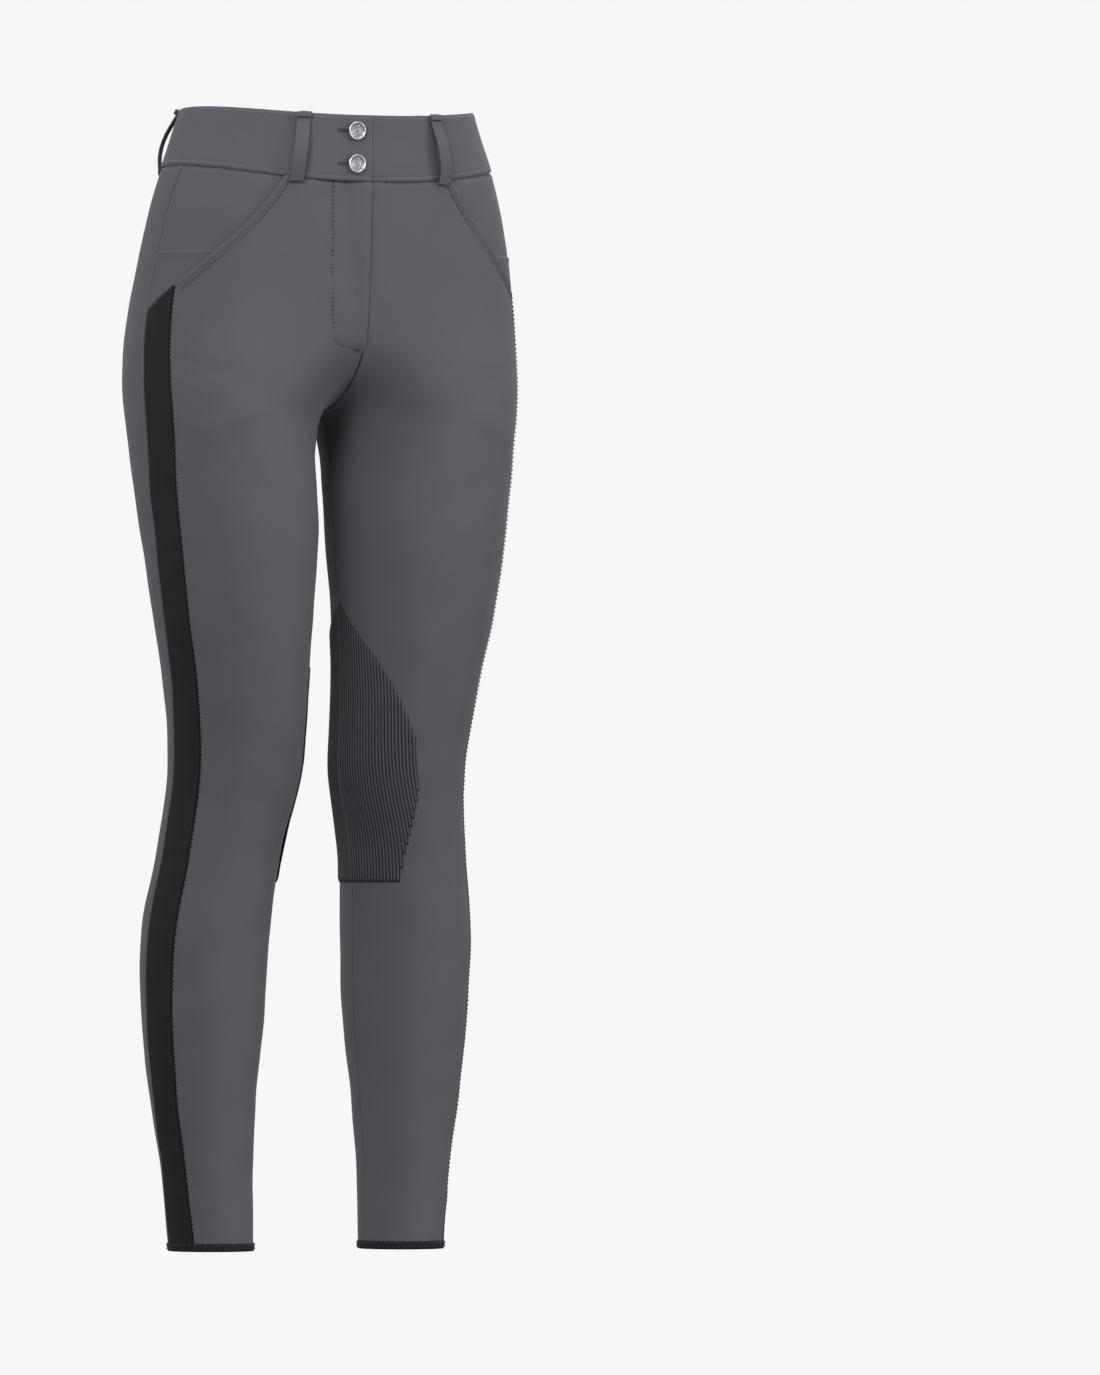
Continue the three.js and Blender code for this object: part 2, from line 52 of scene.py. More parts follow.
camera = bpy.data.objects.new("camera", bpy.data.cameras.new("camera"))
scene.collection.objects.link(camera)
scene.camera = camera
camera.data.sensor_width = 36
camera.data.lens = 36 * camera_distance * pixels_per_metre / picture_height
camera.location = (
    math.sin(camera_turn) * camera_distance,
    -math.cos(camera_turn) * camera_distance,
    camera_height,
)
to_the_right = Vector((math.cos(camera_turn), math.sin(camera_turn), 0))
aim = to_the_right * ((picture_width / 2 - axis_pixel) / pixels_per_metre)
aim.z = -(picture_height / 2 - waist_pixel) / pixels_per_metre
camera.rotation_euler = (aim - camera.location).to_track_quat("-Z", "Y").to_euler()


# Studio: an even near-white surround and large soft lamps
scene.view_settings.view_transform = "Standard"


def linear(hexadecimal):
    """A colour such as #646167, as the linear values that shaders use."""
    values = [int(hexadecimal[i : i + 2], 16) / 255 for i in (1, 3, 5)]
    return [v / 12.92 if v <= 0.04045 else ((v + 0.055) / 1.055) ** 2.4 for v in values] + [1]


def add(tree, kind, inputs=(), **settings):
    """A shader node with its settings. An input is a value or another node's output."""
    made = tree.nodes.new(kind)
    for name, value in settings.items():
        setattr(made, name, value)
    for name, value in dict(inputs).items():
        if isinstance(value, bpy.types.NodeSocket):
            tree.links.new(value, made.inputs[name])
        else:
            made.inputs[name].default_value = value
    return made


surround = bpy.data.worlds.new("studio")
scene.world = surround
surround.use_nodes = True
surround.node_tree.nodes.clear()
seen = add(surround.node_tree, "ShaderNodeBackground", {"Color": linear("#f8f7f8"), "Strength": 1.0})
lighting = add(surround.node_tree, "ShaderNodeBackground", {"Color": linear("#f4f4f8"), "Strength": 0.24})
rays = add(surround.node_tree, "ShaderNodeLightPath")
either = add(
    surround.node_tree,
    "ShaderNodeMixShader",
    {0: rays.outputs["Is Camera Ray"], 1: lighting.outputs[0], 2: seen.outputs[0]},
)
add(surround.node_tree, "ShaderNodeOutputWorld", {"Surface": either.outputs[0]})

lamps = [
    # name, place, aimed at, size, watts
    ("key", (-2.7, -3.0, 1.8), (0, 0, -0.3), 1.4, 84),
    ("fill", (3.2, -2.6, 0.7), (0, 0, -0.4), 1.8, 60),
    ("front", (0.4, -4.5, 1.0), (0, 0, -0.3), 1.6, 24),
    ("back_left", (2.6, 2.4, 0.9), (0, 0, -0.4), 2.0, 28),
    ("back_right", (-2.8, 2.2, 0.6), (0, 0, -0.4), 2.0, 20),
    ("top", (0, -0.6, 3.0), (0, 0, 0), 1.6, 28),
]
for name, place, target, size, watts in lamps:
    lamp = bpy.data.lights.new(name, "AREA")
    lamp.shape = "SQUARE"
    lamp.size = size
    lamp.energy = watts
    lamp_object = bpy.data.objects.new(name, lamp)
    scene.collection.objects.link(lamp_object)
    lamp_object.location = place
    towards = Vector(target) - Vector(place)
    lamp_object.rotation_euler = towards.to_track_quat("-Z", "Y").to_euler()


# The worn shape: cross sections of the wearer's left half, in millimetres, from the
# waist to the hem. Every piece below is laid out on it, round from the side line
# (minus to the front, plus to the back) and up from the waist.
section_columns = [
    "height", "centre", "middle", "half_width", "front_depth", "back_depth",
    "fold", "front_power", "back_power", "skew", "turn",
]
sections = np.array([
    [32, 20, -3, 112, 93, 106, 20, 2.0, 2.0, 0, 0],
    [0, 20, -2, 123, 92, 111, 20, 2.1, 1.95, 0, 0],
    [-28, 22, 0, 131, 94, 115, 22, 2.2, 1.9, 0, 0],
    [-60, 26, 1, 136, 93, 129, 26, 2.3, 1.85, 0, 0],
    [-95, 34, 2, 136, 92, 143, 34, 2.3, 1.85, 0, 0],
    [-130, 46, 4, 131, 91, 151, 43, 2.3, 1.85, 0, 0],
    [-165, 63, 7, 117, 92, 149, 40, 2.2, 1.88, 2, 0],
    [-200, 79.5, 11, 99, 96.5, 134, 22, 2.1, 1.93, 4.5, 0],
    [-220, 87, 13.5, 91, 99, 121, 13, 2.05, 1.97, 5.5, 0],
    [-238, 92, 15, 85, 100, 108.5, 7, 2.02, 2.0, 6, 0],
    [-270, 94, 15.5, 80.5, 99.5, 93.5, 5, 2.0, 2.0, 5, 0],
    [-306, 92.5, 13, 79, 95.5, 86, 4, 2.0, 2.0, 3, 0],
    [-341, 90, 10, 77, 91, 82, 3, 2.0, 2.0, 2, 0],
    [-411, 87, 8, 70, 80, 75, 2, 2.0, 2.0, 1, 1],
    [-482, 82, 12, 62, 70, 69, 1, 2.0, 2.0, 0, 3],
    [-552, 79, 21, 58, 63, 63, 0, 2.0, 2.0, 0, 6],
    [-622, 89, 31, 54, 58, 61, 0, 2.0, 2.0, 0, 8],
    [-692, 97, 41, 56, 60, 64, 0, 2.0, 2.0, 0, 8],
    [-762, 98, 45, 54, 57, 61, 0, 2.0, 2.0, 0, 8],
    [-832, 98, 45, 47, 50, 53, 0, 2.0, 2.0, 0, 7],
    [-902, 95, 43, 40, 43, 45, 0, 2.0, 2.0, 0, 6],
    [-973, 92, 41, 37, 39, 40, 0, 2.0, 2.0, 0, 5],
])
waist_top, waist_seam, waist_settle, crotch, hem = 27, -24.5, -60, -238, -973
top_dip_front, seam_dip_front, seam_dip_back = 8.8, 15.7, 3.2
ring_steps, share_steps = 180, 320


def smooth(start, end, value):
    """0 before start, 1 after end, and 3t^2 - 2t^3 between them."""
    t = np.clip((value - start) / (end - start), 0, 1)
    return t * t * (3 - 2 * t)


def column(table, index, height):
    """A column's value at heights: a cubic through the rows, with the slope at each row
    the mean of its two neighbours' slopes weighted by the far spacing."""
    at, values = table[::-1, 0], table[::-1, index]
    slopes = np.gradient(values, at)
    height = np.clip(height, at[0], at[-1])
    row = np.clip(np.searchsorted(at, height, side="right") - 1, 0, len(at) - 2)
    span = at[row + 1] - at[row]
    t = (height - at[row]) / span
    start = 2 * t**3 - 3 * t**2 + 1
    pull = (t**3 - 2 * t**2 + t) * slopes[row] + (t**3 - t**2) * slopes[row + 1]
    return start * values[row] + (1 - start) * values[row + 1] + span * pull


def signed_power(value, power):
    """|value| to a power, with the sign of value."""
    return np.sign(value) * np.abs(value) ** power


def half_sections(heights, back):
    """Points of every half section, evenly spaced from the side line to the centre line or
    the inseam, and its length. A section is centre + half_width * cos^(2/power) across and
    depth * sin^(2/power) along, and x = sqrt(across^2 - fold^2) closes it on the centre."""
    s = {n: column(sections, i, heights)[:, None] for i, n in enumerate(section_columns) if i}
    power = s["back_power"] if back else s["front_power"]
    depth = s["back_depth"] if back else -s["front_depth"]
    inward = np.clip((s["fold"] - s["centre"]) / s["half_width"], -1, 1)
    last = np.arccos(np.clip(signed_power(inward, power / 2), -1, 1))
    angle = last * (1 - (1 - np.linspace(0, 1, ring_steps + 1)) ** 2)
    across = s["half_width"] * signed_power(np.cos(angle), 2 / power)
    along = depth * signed_power(np.sin(angle), 2 / power) - s["skew"] * across / s["half_width"]
    turn = np.radians(s["turn"])
    out = s["centre"] + across * np.cos(turn) - along * np.sin(turn)
    x = np.sqrt(np.maximum(out**2 - s["fold"] ** 2, 0))
    y = s["middle"] + along * np.cos(turn) + across * np.sin(turn)
    fine = np.stack(np.broadcast_arrays(x, y, heights[:, None]), -1)
    steps = np.linalg.norm(np.diff(fine, axis=1), axis=2)
    lengths = np.concatenate([np.zeros((len(heights), 1)), np.cumsum(steps, 1)], 1)
    shares = np.linspace(0, 1, share_steps + 1)
    points = np.empty((len(heights), share_steps + 1, 3))
    for row in range(len(heights)):
        for axis in range(3):
            points[row, :, axis] = np.interp(
                shares * lengths[row, -1], lengths[row], fine[row, :, axis]
            )
    return points, lengths[:, -1]


levels = np.arange(hem - 5, 34.0)
front_half, front_girths = half_sections(levels, False)
back_half, back_girths = half_sections(levels, True)
half_points = np.stack([front_half, back_half])
half_normals = np.stack([
    np.cross(np.gradient(points, axis=1), np.gradient(points, axis=0)) * turn
    for points, turn in ((front_half, -1), (back_half, 1))
])
half_normals /= np.linalg.norm(half_normals, axis=3, keepdims=True) + 1e-9


def girth(height, back):
    """Length of half a section, from the side line to the centre line or the inseam."""
    return np.where(
        back, np.interp(height, levels, back_girths), np.interp(height, levels, front_girths)
    )


def share_of(distance, height):
    """How far round a half section a point is, from -1 to 1."""
    return distance / girth(height, distance >= 0)


def surface(distance, height, out=0.0):
    """Points and outward directions of the worn shape. Past a centre line a point goes on
    into the other half, and past an inseam round the leg."""
    distance, height, out = np.broadcast_arrays(distance, height, out)
    back = distance >= 0
    past = np.maximum(np.abs(distance) - girth(height, back), 0)
    over_centre = (past > 0) & (height > crotch)
    over_inseam = (past > 0) & ~over_centre
    back = back ^ over_inseam
    length = girth(height, back)
    share = np.where(past > 0, length - past, np.abs(distance)) / length
    row = np.clip(height - levels[0], 0, len(levels) - 1.001)
    place = np.clip(share, 0, 1) * (share_steps - 0.001)
    r, c = row.astype(int), place.astype(int)
    fr, fc = (row - r)[..., None], (place - c)[..., None]
    half = back.astype(int)

    def blend(table):
        """The table between its four nearest points."""
        upper = table[half, r + 1, c] * (1 - fc) + table[half, r + 1, c + 1] * fc
        lower = table[half, r, c] * (1 - fc) + table[half, r, c + 1] * fc
        return lower * (1 - fr) + upper * fr

    mirror = np.where(over_centre, -1, 1)[..., None] * [1, 0, 0] + [0, 1, 1]
    points, normals = blend(half_points) * mirror, blend(half_normals) * mirror
    normals /= np.linalg.norm(normals, axis=-1, keepdims=True)
    return points + normals * out[..., None], normals


def dip(share, in_front, behind):
    """How far a row drops: nothing at the side and all of it at a centre line, by
    deepest * (1 - (1 - share^2)^3)."""
    return np.where(np.asarray(share) < 0, in_front, behind) * (1 - (1 - share**2) ** 3)


def lowered(base, share):
    """The height of a row: it follows the dipped top edge and waist seam, and levels out
    below them."""
    seam_dip = dip(share, seam_dip_front, seam_dip_back)
    part = (base - waist_seam) / (waist_top - waist_seam)
    above = seam_dip + (dip(share, top_dip_front, 0) - seam_dip) * part
    below = seam_dip * np.maximum(base - waist_settle, 0) / (waist_seam - waist_settle)
    return base - np.where(base > waist_seam, above, below)


# Seams of the cut: their distance from the side line at each height
leg_seams = np.array([  # height, stripe front, stripe back, seat seam
    [-131, -41.5, -8, 150], [-155, -41.5, -8, 153], [-194, -44, -9, 153],
    [-214, -47, -11, 138], [-235, -49.5, -13.5, 122], [-259, -50.5, -14.5, 113],
    [-328, -46, -11, 107.5], [-393, -42.5, -7.5, 101.5], [-430, -41, -7, 98.5],
    [-475, -41, -6.5, 93.5], [-540, -42, -5, 86], [-610, -43.5, -7.5, 82],
    [-650, -45, -9, 85], [-700, -45, -9.5, 88.5], [-745, -42.5, -8, 88],
    [-800, -38.5, -4, 83], [-860, -33, 1, 75], [-910, -30.5, 4, 70],
    [-973, -31, 5, 67.5],
])
pocket_seams = np.array([  # height, mouth, side seam
    [-28, -125.5, -23], [-50, -116, -18], [-67, -106, -16], [-85, -91.5, -15],
    [-103, -73, -14.5], [-117, -58.5, -14.5], [-131, -41.5, -13], [-155, -16, -9],
])
stripe_front_column, stripe_back_column, seat_column = 1, 2, 3
mouth_column, side_column = 1, 2
stripe_top, stripe_heel = -131, -153.5
arch_top, arch_drop, arch_reach, arch_power = -103.5, 90.5, 115, 0.9
fly_bottom, fly_overlap, facing_tuck = -186, 1.1, 4
trough_reach, trough_lean, trough_start = 24, 0.075, -40


def stripe_slant(height):
    """The slanted top of the stripe, a straight line."""
    front = column(leg_seams, stripe_front_column, stripe_top)
    back = column(leg_seams, stripe_back_column, stripe_heel)
    return front + (back - front) * (stripe_top - height) / (stripe_top - stripe_heel)


def centre_front(height):
    """The centre line in front, and below the crotch the inseam: half a girth away."""
    return -girth(height, False)


def fly_edge(height):
    """The folded edge of the right front, which lies over the left one down the fly."""
    return -girth(height, False) - fly_overlap * smooth(fly_bottom - 4, fly_bottom + 4, height)


def centre_back(height):
    """The centre line behind, and below the crotch the inseam: half a girth away."""
    return girth(height, True)


def front_side(height):
    """The front's outer edge: the pocket mouth, and below it the stripe's front seam."""
    below = column(leg_seams, stripe_front_column, height)
    return np.where(height > stripe_top, column(pocket_seams, mouth_column, height), below)


def facing_front(height):
    """The facing's front edge: a little in under the mouth, and then the stripe's slant."""
    slant = stripe_slant(height)
    return np.where(height > stripe_top, column(pocket_seams, mouth_column, height) - facing_tuck, slant)


def facing_back(height):
    """The facing's back edge, which is the side seam."""
    return column(pocket_seams, side_column, height)


def stripe_front(height):
    """The stripe's front seam, from the table."""
    return column(leg_seams, stripe_front_column, height)


def stripe_back(height):
    """The stripe's back edge: its slanted top, and below it its back seam."""
    below = column(leg_seams, stripe_back_column, height)
    return np.where(height > stripe_heel, stripe_slant(height), below)


def back_side(height):
    """The outer back's front edge: the side seam, and below it the stripe's back seam."""
    below = column(leg_seams, stripe_back_column, height)
    return np.where(height > stripe_heel, column(pocket_seams, side_column, height), below)


def seat_edge(height):
    """The arched seat seam: a quarter of an oval off the centre back, and then its table."""
    centre = girth(height, True)
    angle = np.arccos(np.clip(1 - (arch_top - height) / arch_drop, -1, 1))
    arch = centre - arch_reach * np.sin(angle) ** arch_power
    leg = column(leg_seams, seat_column, height)
    return np.where(height > arch_top, centre, np.where(height < arch_top - arch_drop, leg, arch))


def line(edge, top, bottom, step=4.0):
    """An edge as points (distance, height) from its top to its bottom."""
    height = np.linspace(top, bottom, int(abs(top - bottom) / step) + 2)
    return np.stack([edge(height), height], -1)


arch_angles = np.radians(np.concatenate([np.linspace(0, 12, 9), np.linspace(14, 90, 26)]))
arch_heights = arch_top - arch_drop * (1 - np.cos(arch_angles))
arch_line = np.stack([
    girth(arch_heights, True) - arch_reach * np.sin(arch_angles) ** arch_power,
    arch_heights,
], -1)
mouth_line = line(front_side, waist_seam + 2, stripe_top + 0.01)
side_line = line(facing_back, waist_seam + 2, stripe_heel)
slant_line = line(stripe_slant, stripe_top, stripe_heel)
stripe_front_line = line(stripe_front, stripe_top, hem)
stripe_back_line = line(stripe_back, stripe_heel - 0.1, hem)
seat_line = np.concatenate([arch_line[:-1], line(seat_edge, arch_top - arch_drop - 0.1, hem)])
fly_line = np.array([  # distance from the centre line, height
    [36, -34], [36, -44], [35.7, -72], [35, -100], [33.8, -138], [32.4, -161], [31.4, -171],
    [29, -177.5], [25, -181], [20, -182.8], [13, -184.6], [7, -185.6], [3, -186],
])


def gap(distance, height, seam):
    """The shortest way, in millimetres on the flat cloth, from points to a seam's line."""
    point = np.stack([distance, height], -1)[..., None, :]
    start, step = seam[:-1], np.diff(seam, axis=0)
    along = np.clip(((point - start) * step).sum(-1) / (step**2).sum(-1), 0, 1)
    return np.linalg.norm(point - start - along[..., None] * step, axis=-1).min(-1)


def seam_form(away, groove, ridge, width):
    """A seam's form across it: a groove on the line, then the low ridge of its allowance."""
    raised = smooth(0.2, 1.4, away) - smooth(width - 1.0, width + 1.2, away)
    return ridge * raised - groove * (1 - smooth(0, 1.2, away))


def bell(value, middle, width):
    """A smooth bump: exp of minus the squared distance from its middle over its width."""
    return np.exp(-(((value - middle) / width) ** 2))


seam_forms = [
    # seam, depth of its groove, height and width of its allowance
    (seat_line, 2.0, 0.7, 3.0),
    (side_line, 2.2, 0.3, 4.0),
    (slant_line, 1.6, 0.2, 3.0),
    (stripe_front_line, 1.7, 0.25, 3.0),
    (stripe_back_line, 1.7, 0.25, 3.0),
]
soft_folds = [
    # side, then distance and height of both ends, height of the fold, its half width
    ("both", -120, -214, -52, -196, -0.7, 9),
    ("both", -150, -232, -70, -262, 0.6, 12),
    ("both", -128, -48, -150, -92, -0.5, 9),
    ("left", -134, -42, -118, -50, 0.6, 5),
    ("both", 60, -214, 128, -246, -0.6, 11),
    ("both", 20, -588, 84, -600, -0.9, 9),
    ("both", 30, -616, 92, -634, 0.7, 9),
    ("both", -20, -566, -66, -584, -0.5, 9),
    ("both", 14, -905, 74, -896, -0.6, 7),
    ("both", -10, -924, -62, -934, 0.5, 7),
]


def relief(distance, height, side):
    """How far the cloth stands off the worn shape: grooves on the seams, the puffed edge of
    the pocket, the fly's layers, a few soft folds and a slight waviness all over."""
    back = distance >= 0
    to_centre = girth(height, back) - np.abs(distance)
    out = np.zeros(np.broadcast(distance, height).shape)
    for seam, groove, ridge, width in seam_forms:
        out += seam_form(gap(distance, height, seam), groove, ridge, width)
    plain = np.where(back, 1.0, 1 - smooth(fly_bottom - 6, fly_bottom + 2, height))
    out += plain * seam_form(np.abs(to_centre), 2.2, 0.35, 4.0)
    waist = lowered(waist_seam, share_of(distance, height)) - height
    out -= 1.3 * (1 - smooth(0, 3.0, waist))
    fly = smooth(fly_bottom - 3, fly_bottom + 3, height) * ~back
    if side == "right":
        inside = smooth(-1.5, 2.0, fly_reach(height) - to_centre)
        out += fly * 0.6 * inside
        out -= 1.1 * bell(gap(to_centre, height, fly_line), 0, 1.8) * ~back
        out += fly * 1.5 * bell(to_centre, 3, 5.5)
        trough = trough_reach + trough_lean * (height - trough_start)
        out -= fly * 2.2 * bell(to_centre, trough, 6) * smooth(-165, -120, height)
        out -= fly * 1.0 * (1 - smooth(-fly_overlap, 1.2, to_centre))
        out += 0.5 * bell(to_centre, 11, 5) * bell(height, -176, 3.5) * ~back
    else:
        out -= fly * 1.5 * (1 - smooth(0.5, 9, to_centre))
    for where, d0, h0, d1, h1, rise, width in soft_folds:
        if where in ("both", side):
            way = np.array([[d0, h0], [d1, h1]], float)
            middle = (way[0] + way[1]) / 2
            reach = np.linalg.norm(way[1] - way[0]) / 2
            fade = 1 - smooth(0.3, 1.25, np.hypot(distance - middle[0], height - middle[1]) / reach)
            direction = (way[1] - way[0]) / (2 * reach)
            across = (distance - middle[0]) * direction[1] - (height - middle[1]) * direction[0]
            out += rise * fade * bell(across, 0, width)
    wave = np.sin(distance / 13 + height / 31 + 0.5) * np.sin(height / 17 - distance / 40)
    wave += np.sin(distance / 9 - height / 23 + 2.0) * np.sin(height / 11 + distance / 27) * 0.6
    return out + 0.3 * wave


def fly_reach(height):
    """How far the fly's stitched layers reach from the centre line at a height."""
    return np.interp(height, fly_line[::-1, 1], fly_line[::-1, 0])


# Softshell cloth: a smooth, tightly knitted stretch face, matte grey with a soft bloom.
# The same maker also serves the stripe and the tape, with their own sizes and colours.
wave_period = math.pi / 10


def new_material(name):
    """A material with an empty node tree, and that tree."""
    material = bpy.data.materials.new(name)
    material.use_nodes = True
    material.node_tree.nodes.clear()
    return material, material.node_tree


def fabric(name, colour, dark, roughness, sheen, pitch, depth, mottle=0.35):
    """A knitted cloth: fine courses crossed by wales at a pitch in metres as its bump, and
    two sizes of noise between its colour and a darker one."""
    material, tree = new_material(name)
    flat = add(tree, "ShaderNodeUVMap", uv_map="UVMap").outputs[0]
    noise = dict(Roughness=0.6, Detail=3.0)
    fine = add(tree, "ShaderNodeTexNoise", {"Vector": flat, "Scale": 900.0, **noise})
    broad = add(tree, "ShaderNodeTexNoise", {"Vector": flat, "Scale": 22.0, **noise})
    mixed = add(
        tree, "ShaderNodeMath", {0: fine.outputs[0], 1: 0.5, 2: 0.25}, operation="MULTIPLY_ADD"
    )
    patches = add(
        tree, "ShaderNodeMath", {0: broad.outputs[0], 1: mottle, 2: mixed.outputs[0]},
        operation="MULTIPLY_ADD",
    )
    shade = add(
        tree, "ShaderNodeMix", {0: patches.outputs[0], 6: linear(dark), 7: linear(colour)},
        data_type="RGBA",
    )
    scale = wave_period / pitch
    courses = add(
        tree, "ShaderNodeTexWave", {"Vector": flat, "Scale": scale, "Distortion": 0.6},
        bands_direction="Y",
    )
    wales = add(
        tree, "ShaderNodeTexWave", {"Vector": flat, "Scale": scale, "Distortion": 0.6},
        bands_direction="X",
    )
    knit = add(
        tree, "ShaderNodeMath", {0: courses.outputs["Fac"], 1: wales.outputs["Fac"]},
        operation="MULTIPLY",
    )
    bump = add(
        tree, "ShaderNodeBump", {"Strength": 0.35, "Distance": depth, "Height": knit.outputs[0]}
    )
    cloth = add(tree, "ShaderNodeBsdfPrincipled", {
        "Base Color": shade.outputs[2],
        "Roughness": roughness,
        "Sheen Weight": sheen,
        "Sheen Roughness": 0.45,
        "Sheen Tint": linear("#d8d6dc"),
        "Specular IOR Level": 0.25,
        "Normal": bump.outputs[0],
    })
    add(tree, "ShaderNodeOutputMaterial", {"Surface": cloth.outputs[0]})
    return material


softshell = fabric("softshell_cloth", "#6a676d", "#58555c", 0.82, 0.22, 0.0007, 0.0001)
stripe_cloth = fabric("stripe_cloth", "#242528", "#1b1c1f", 0.75, 0.02, 0.0005, 0.00006)
tape_cloth = fabric("elastic_tape", "#242327", "#17161a", 0.7, 0.03, 0.0009, 0.0002)


# Sewing thread: matte polyester, slightly twisted. The near-black thread's colour is painted shade: it
# stands for the dark needle holes along its rows.
def thread(name, colour, twist=0.0006):
    """A thread's material: slanting bands of its twist as bump over one colour."""
    material, tree = new_material(name)
    place = add(tree, "ShaderNodeTexCoord").outputs["Object"]
    bands = add(
        tree, "ShaderNodeTexWave", {"Vector": place, "Scale": wave_period / twist},
        bands_direction="DIAGONAL",
    )
    bump = add(
        tree, "ShaderNodeBump",
        {"Strength": 0.4, "Distance": 0.0001, "Height": bands.outputs["Fac"]},
    )
    strand = add(tree, "ShaderNodeBsdfPrincipled", {
        "Base Color": linear(colour),
        "Roughness": 0.65,
        "Sheen Weight": 0.2,
        "Normal": bump.outputs[0],
    })
    add(tree, "ShaderNodeOutputMaterial", {"Surface": strand.outputs[0]})
    return material


# Painted shade: near-black stitches for the shadowed needle holes.
needle_hole_shade_thread = thread("needle_hole_shade_thread", "#1d1c20")
# Painted shade: cloth-coloured thread darkened to stand for the small shadows round its stitches.
seam_thread_painted_shade = thread("seam_thread_painted_shade", "#4c4a50")
pale_thread = thread("pale_thread", "#86838a")


# Panels of the trunk and the legs: softshell, butted at turned seams. Each is a thin
# shell whose rows fan between its two seams as the cloth's grain does.
cloth_thickness = 1.0
seam_inset = 0.06
row_step = 4.2
border = np.array([0, 0.25, 0.6, 1.1, 1.8, 2.8, 4.2, 6.2])
even_top, even_bottom = -190, -300
sides = (("left", 1), ("right", -1))


def add_mesh(name, points, faces, materials, flat=None, face_materials=None):
    """A smooth object from points in millimetres, with its flat cut, also in millimetres,
    as its UV in metres."""
    mesh = bpy.data.meshes.new(name)
    mesh.from_pydata((points * MM).tolist(), [], faces)
    for material in materials if isinstance(materials, (list, tuple)) else [materials]:
        mesh.materials.append(material)
    mesh.polygons.foreach_set("use_smooth", np.ones(len(mesh.polygons), bool))
    if face_materials is not None:
        mesh.polygons.foreach_set("material_index", face_materials.astype(np.int32))
    if flat is not None:
        corners = np.empty(len(mesh.loops), np.int32)
        mesh.loops.foreach_get("vertex_index", corners)
        layer = mesh.uv_layers.new(name="UVMap")
        layer.data.foreach_set("uv", (flat[corners] * MM).astype(np.float32).ravel())
    mesh.update()
    piece = bpy.data.objects.new(name, mesh)
    scene.collection.objects.link(piece)
    return piece


def wall_faces(rows, columns, ring=False):
    """Quads of a closed wall whose points are an outer grid and then an inner one."""
    outer = np.arange(rows * columns).reshape(rows, columns)
    if ring:
        outer = np.hstack([outer, outer[:, :1]])
    inner = outer + rows * columns

    def sheet(grid):
        """A quad for each cell of a grid of point numbers."""
        corners = (grid[:-1, :-1], grid[1:, :-1], grid[1:, 1:], grid[:-1, 1:])
        return np.stack(corners, -1).reshape(-1, 4)

    def rim(a, b):
        """A quad for each step along two rows of point numbers."""
        return np.stack([a[:-1], a[1:], b[1:], b[:-1]], -1)

    faces = [sheet(outer), sheet(inner)[:, ::-1], rim(outer[0], inner[0]), rim(inner[-1], outer[-1])]
    if not ring:
        faces += [rim(inner[:, 0], outer[:, 0]), rim(outer[:, -1], inner[:, -1])]
    return np.concatenate(faces)


def add_wall(name, outer, inner, flat, material, mirror, ring=False, **more):
    """A closed wall between two grids of points, mirrored to the wearer's right if asked."""
    rows, columns = outer.shape[:2]
    points = np.concatenate([outer.reshape(-1, 3), inner.reshape(-1, 3)])
    faces = wall_faces(rows, columns, ring)
    if mirror:
        points, faces = points * [-1, 1, 1], faces[:, ::-1]
    flat = np.tile(flat.reshape(-1, 2), (2, 1))
    return add_mesh(name, points, faces.tolist(), material, flat, **more)


def even_girth(height, back):
    """Half a girth that ignores the sections' sudden turn into the crotch."""
    upper, lower = girth(even_top, back), girth(even_bottom, back)
    blended = upper + (lower - upper) * smooth(-even_top, -even_bottom, -height)
    within = (height <= even_top) & (height >= even_bottom)
    return np.where(within, blended, girth(height, back))


def inset(edge, height, into):
    """An edge moved into its own panel, the same way on the cloth at any slant."""
    slope = np.minimum(np.abs(edge(height + 1) - edge(height - 1)) / 2, 25)
    slope = np.where(edge in (centre_front, fly_edge, centre_back), 0, slope)
    return edge(height) + into * seam_inset * np.sqrt(1 + slope**2)


def settle(base, distance_at):
    """The distance and height of points on a row, whose height depends on the distance."""
    height = base
    for _ in range(6):
        distance = distance_at(height)
        height = lowered(base, share_of(distance, height))
    return distance, height


def panel_grid(front, back, front_rows, back_rows, middle_columns):
    """Distances and heights of a panel's points: finely spaced rows between the named ones,
    and columns that crowd at both seams."""
    front_rows, back_rows = np.array(front_rows, float), np.array(back_rows, float)
    steps = np.maximum(np.abs(np.diff(front_rows)), np.abs(np.diff(back_rows)))
    counts = np.maximum(np.ceil(steps / row_step).astype(int), 1)
    index = np.concatenate([i + np.arange(n) / n for i, n in enumerate(counts)] + [[len(counts)]])
    front_base = np.interp(index, np.arange(len(front_rows)), front_rows)
    back_base = np.interp(index, np.arange(len(back_rows)), back_rows)
    front_end, front_height = settle(front_base, lambda height: inset(front, height, 1))
    back_end, back_height = settle(back_base, lambda height: inset(back, height, -1))
    back_end = np.maximum(back_end, front_end + 0.8)
    at_front, at_back = front in (centre_front, fly_edge), back is centre_back
    even_front = -even_girth(front_height, False) if at_front else front_end
    even_back = even_girth(back_height, True) if at_back else back_end
    width = (even_back - even_front)[:, None]
    reach = np.minimum(border[-1], width * 0.3)
    near = border * reach / border[-1]
    inner = reach + (width - 2 * reach) * np.linspace(0, 1, middle_columns + 2)[1:-1]
    part = np.concatenate([near, inner, width - near[:, ::-1]], 1) / width
    distance = even_front[:, None] + width * part
    distance = distance + (front_end - even_front)[:, None] * (1 - part) ** 6
    distance = distance + (back_end - even_back)[:, None] * part**6
    base = front_base[:, None] + (back_base - front_base)[:, None] * part
    return settle(base, lambda height: distance)


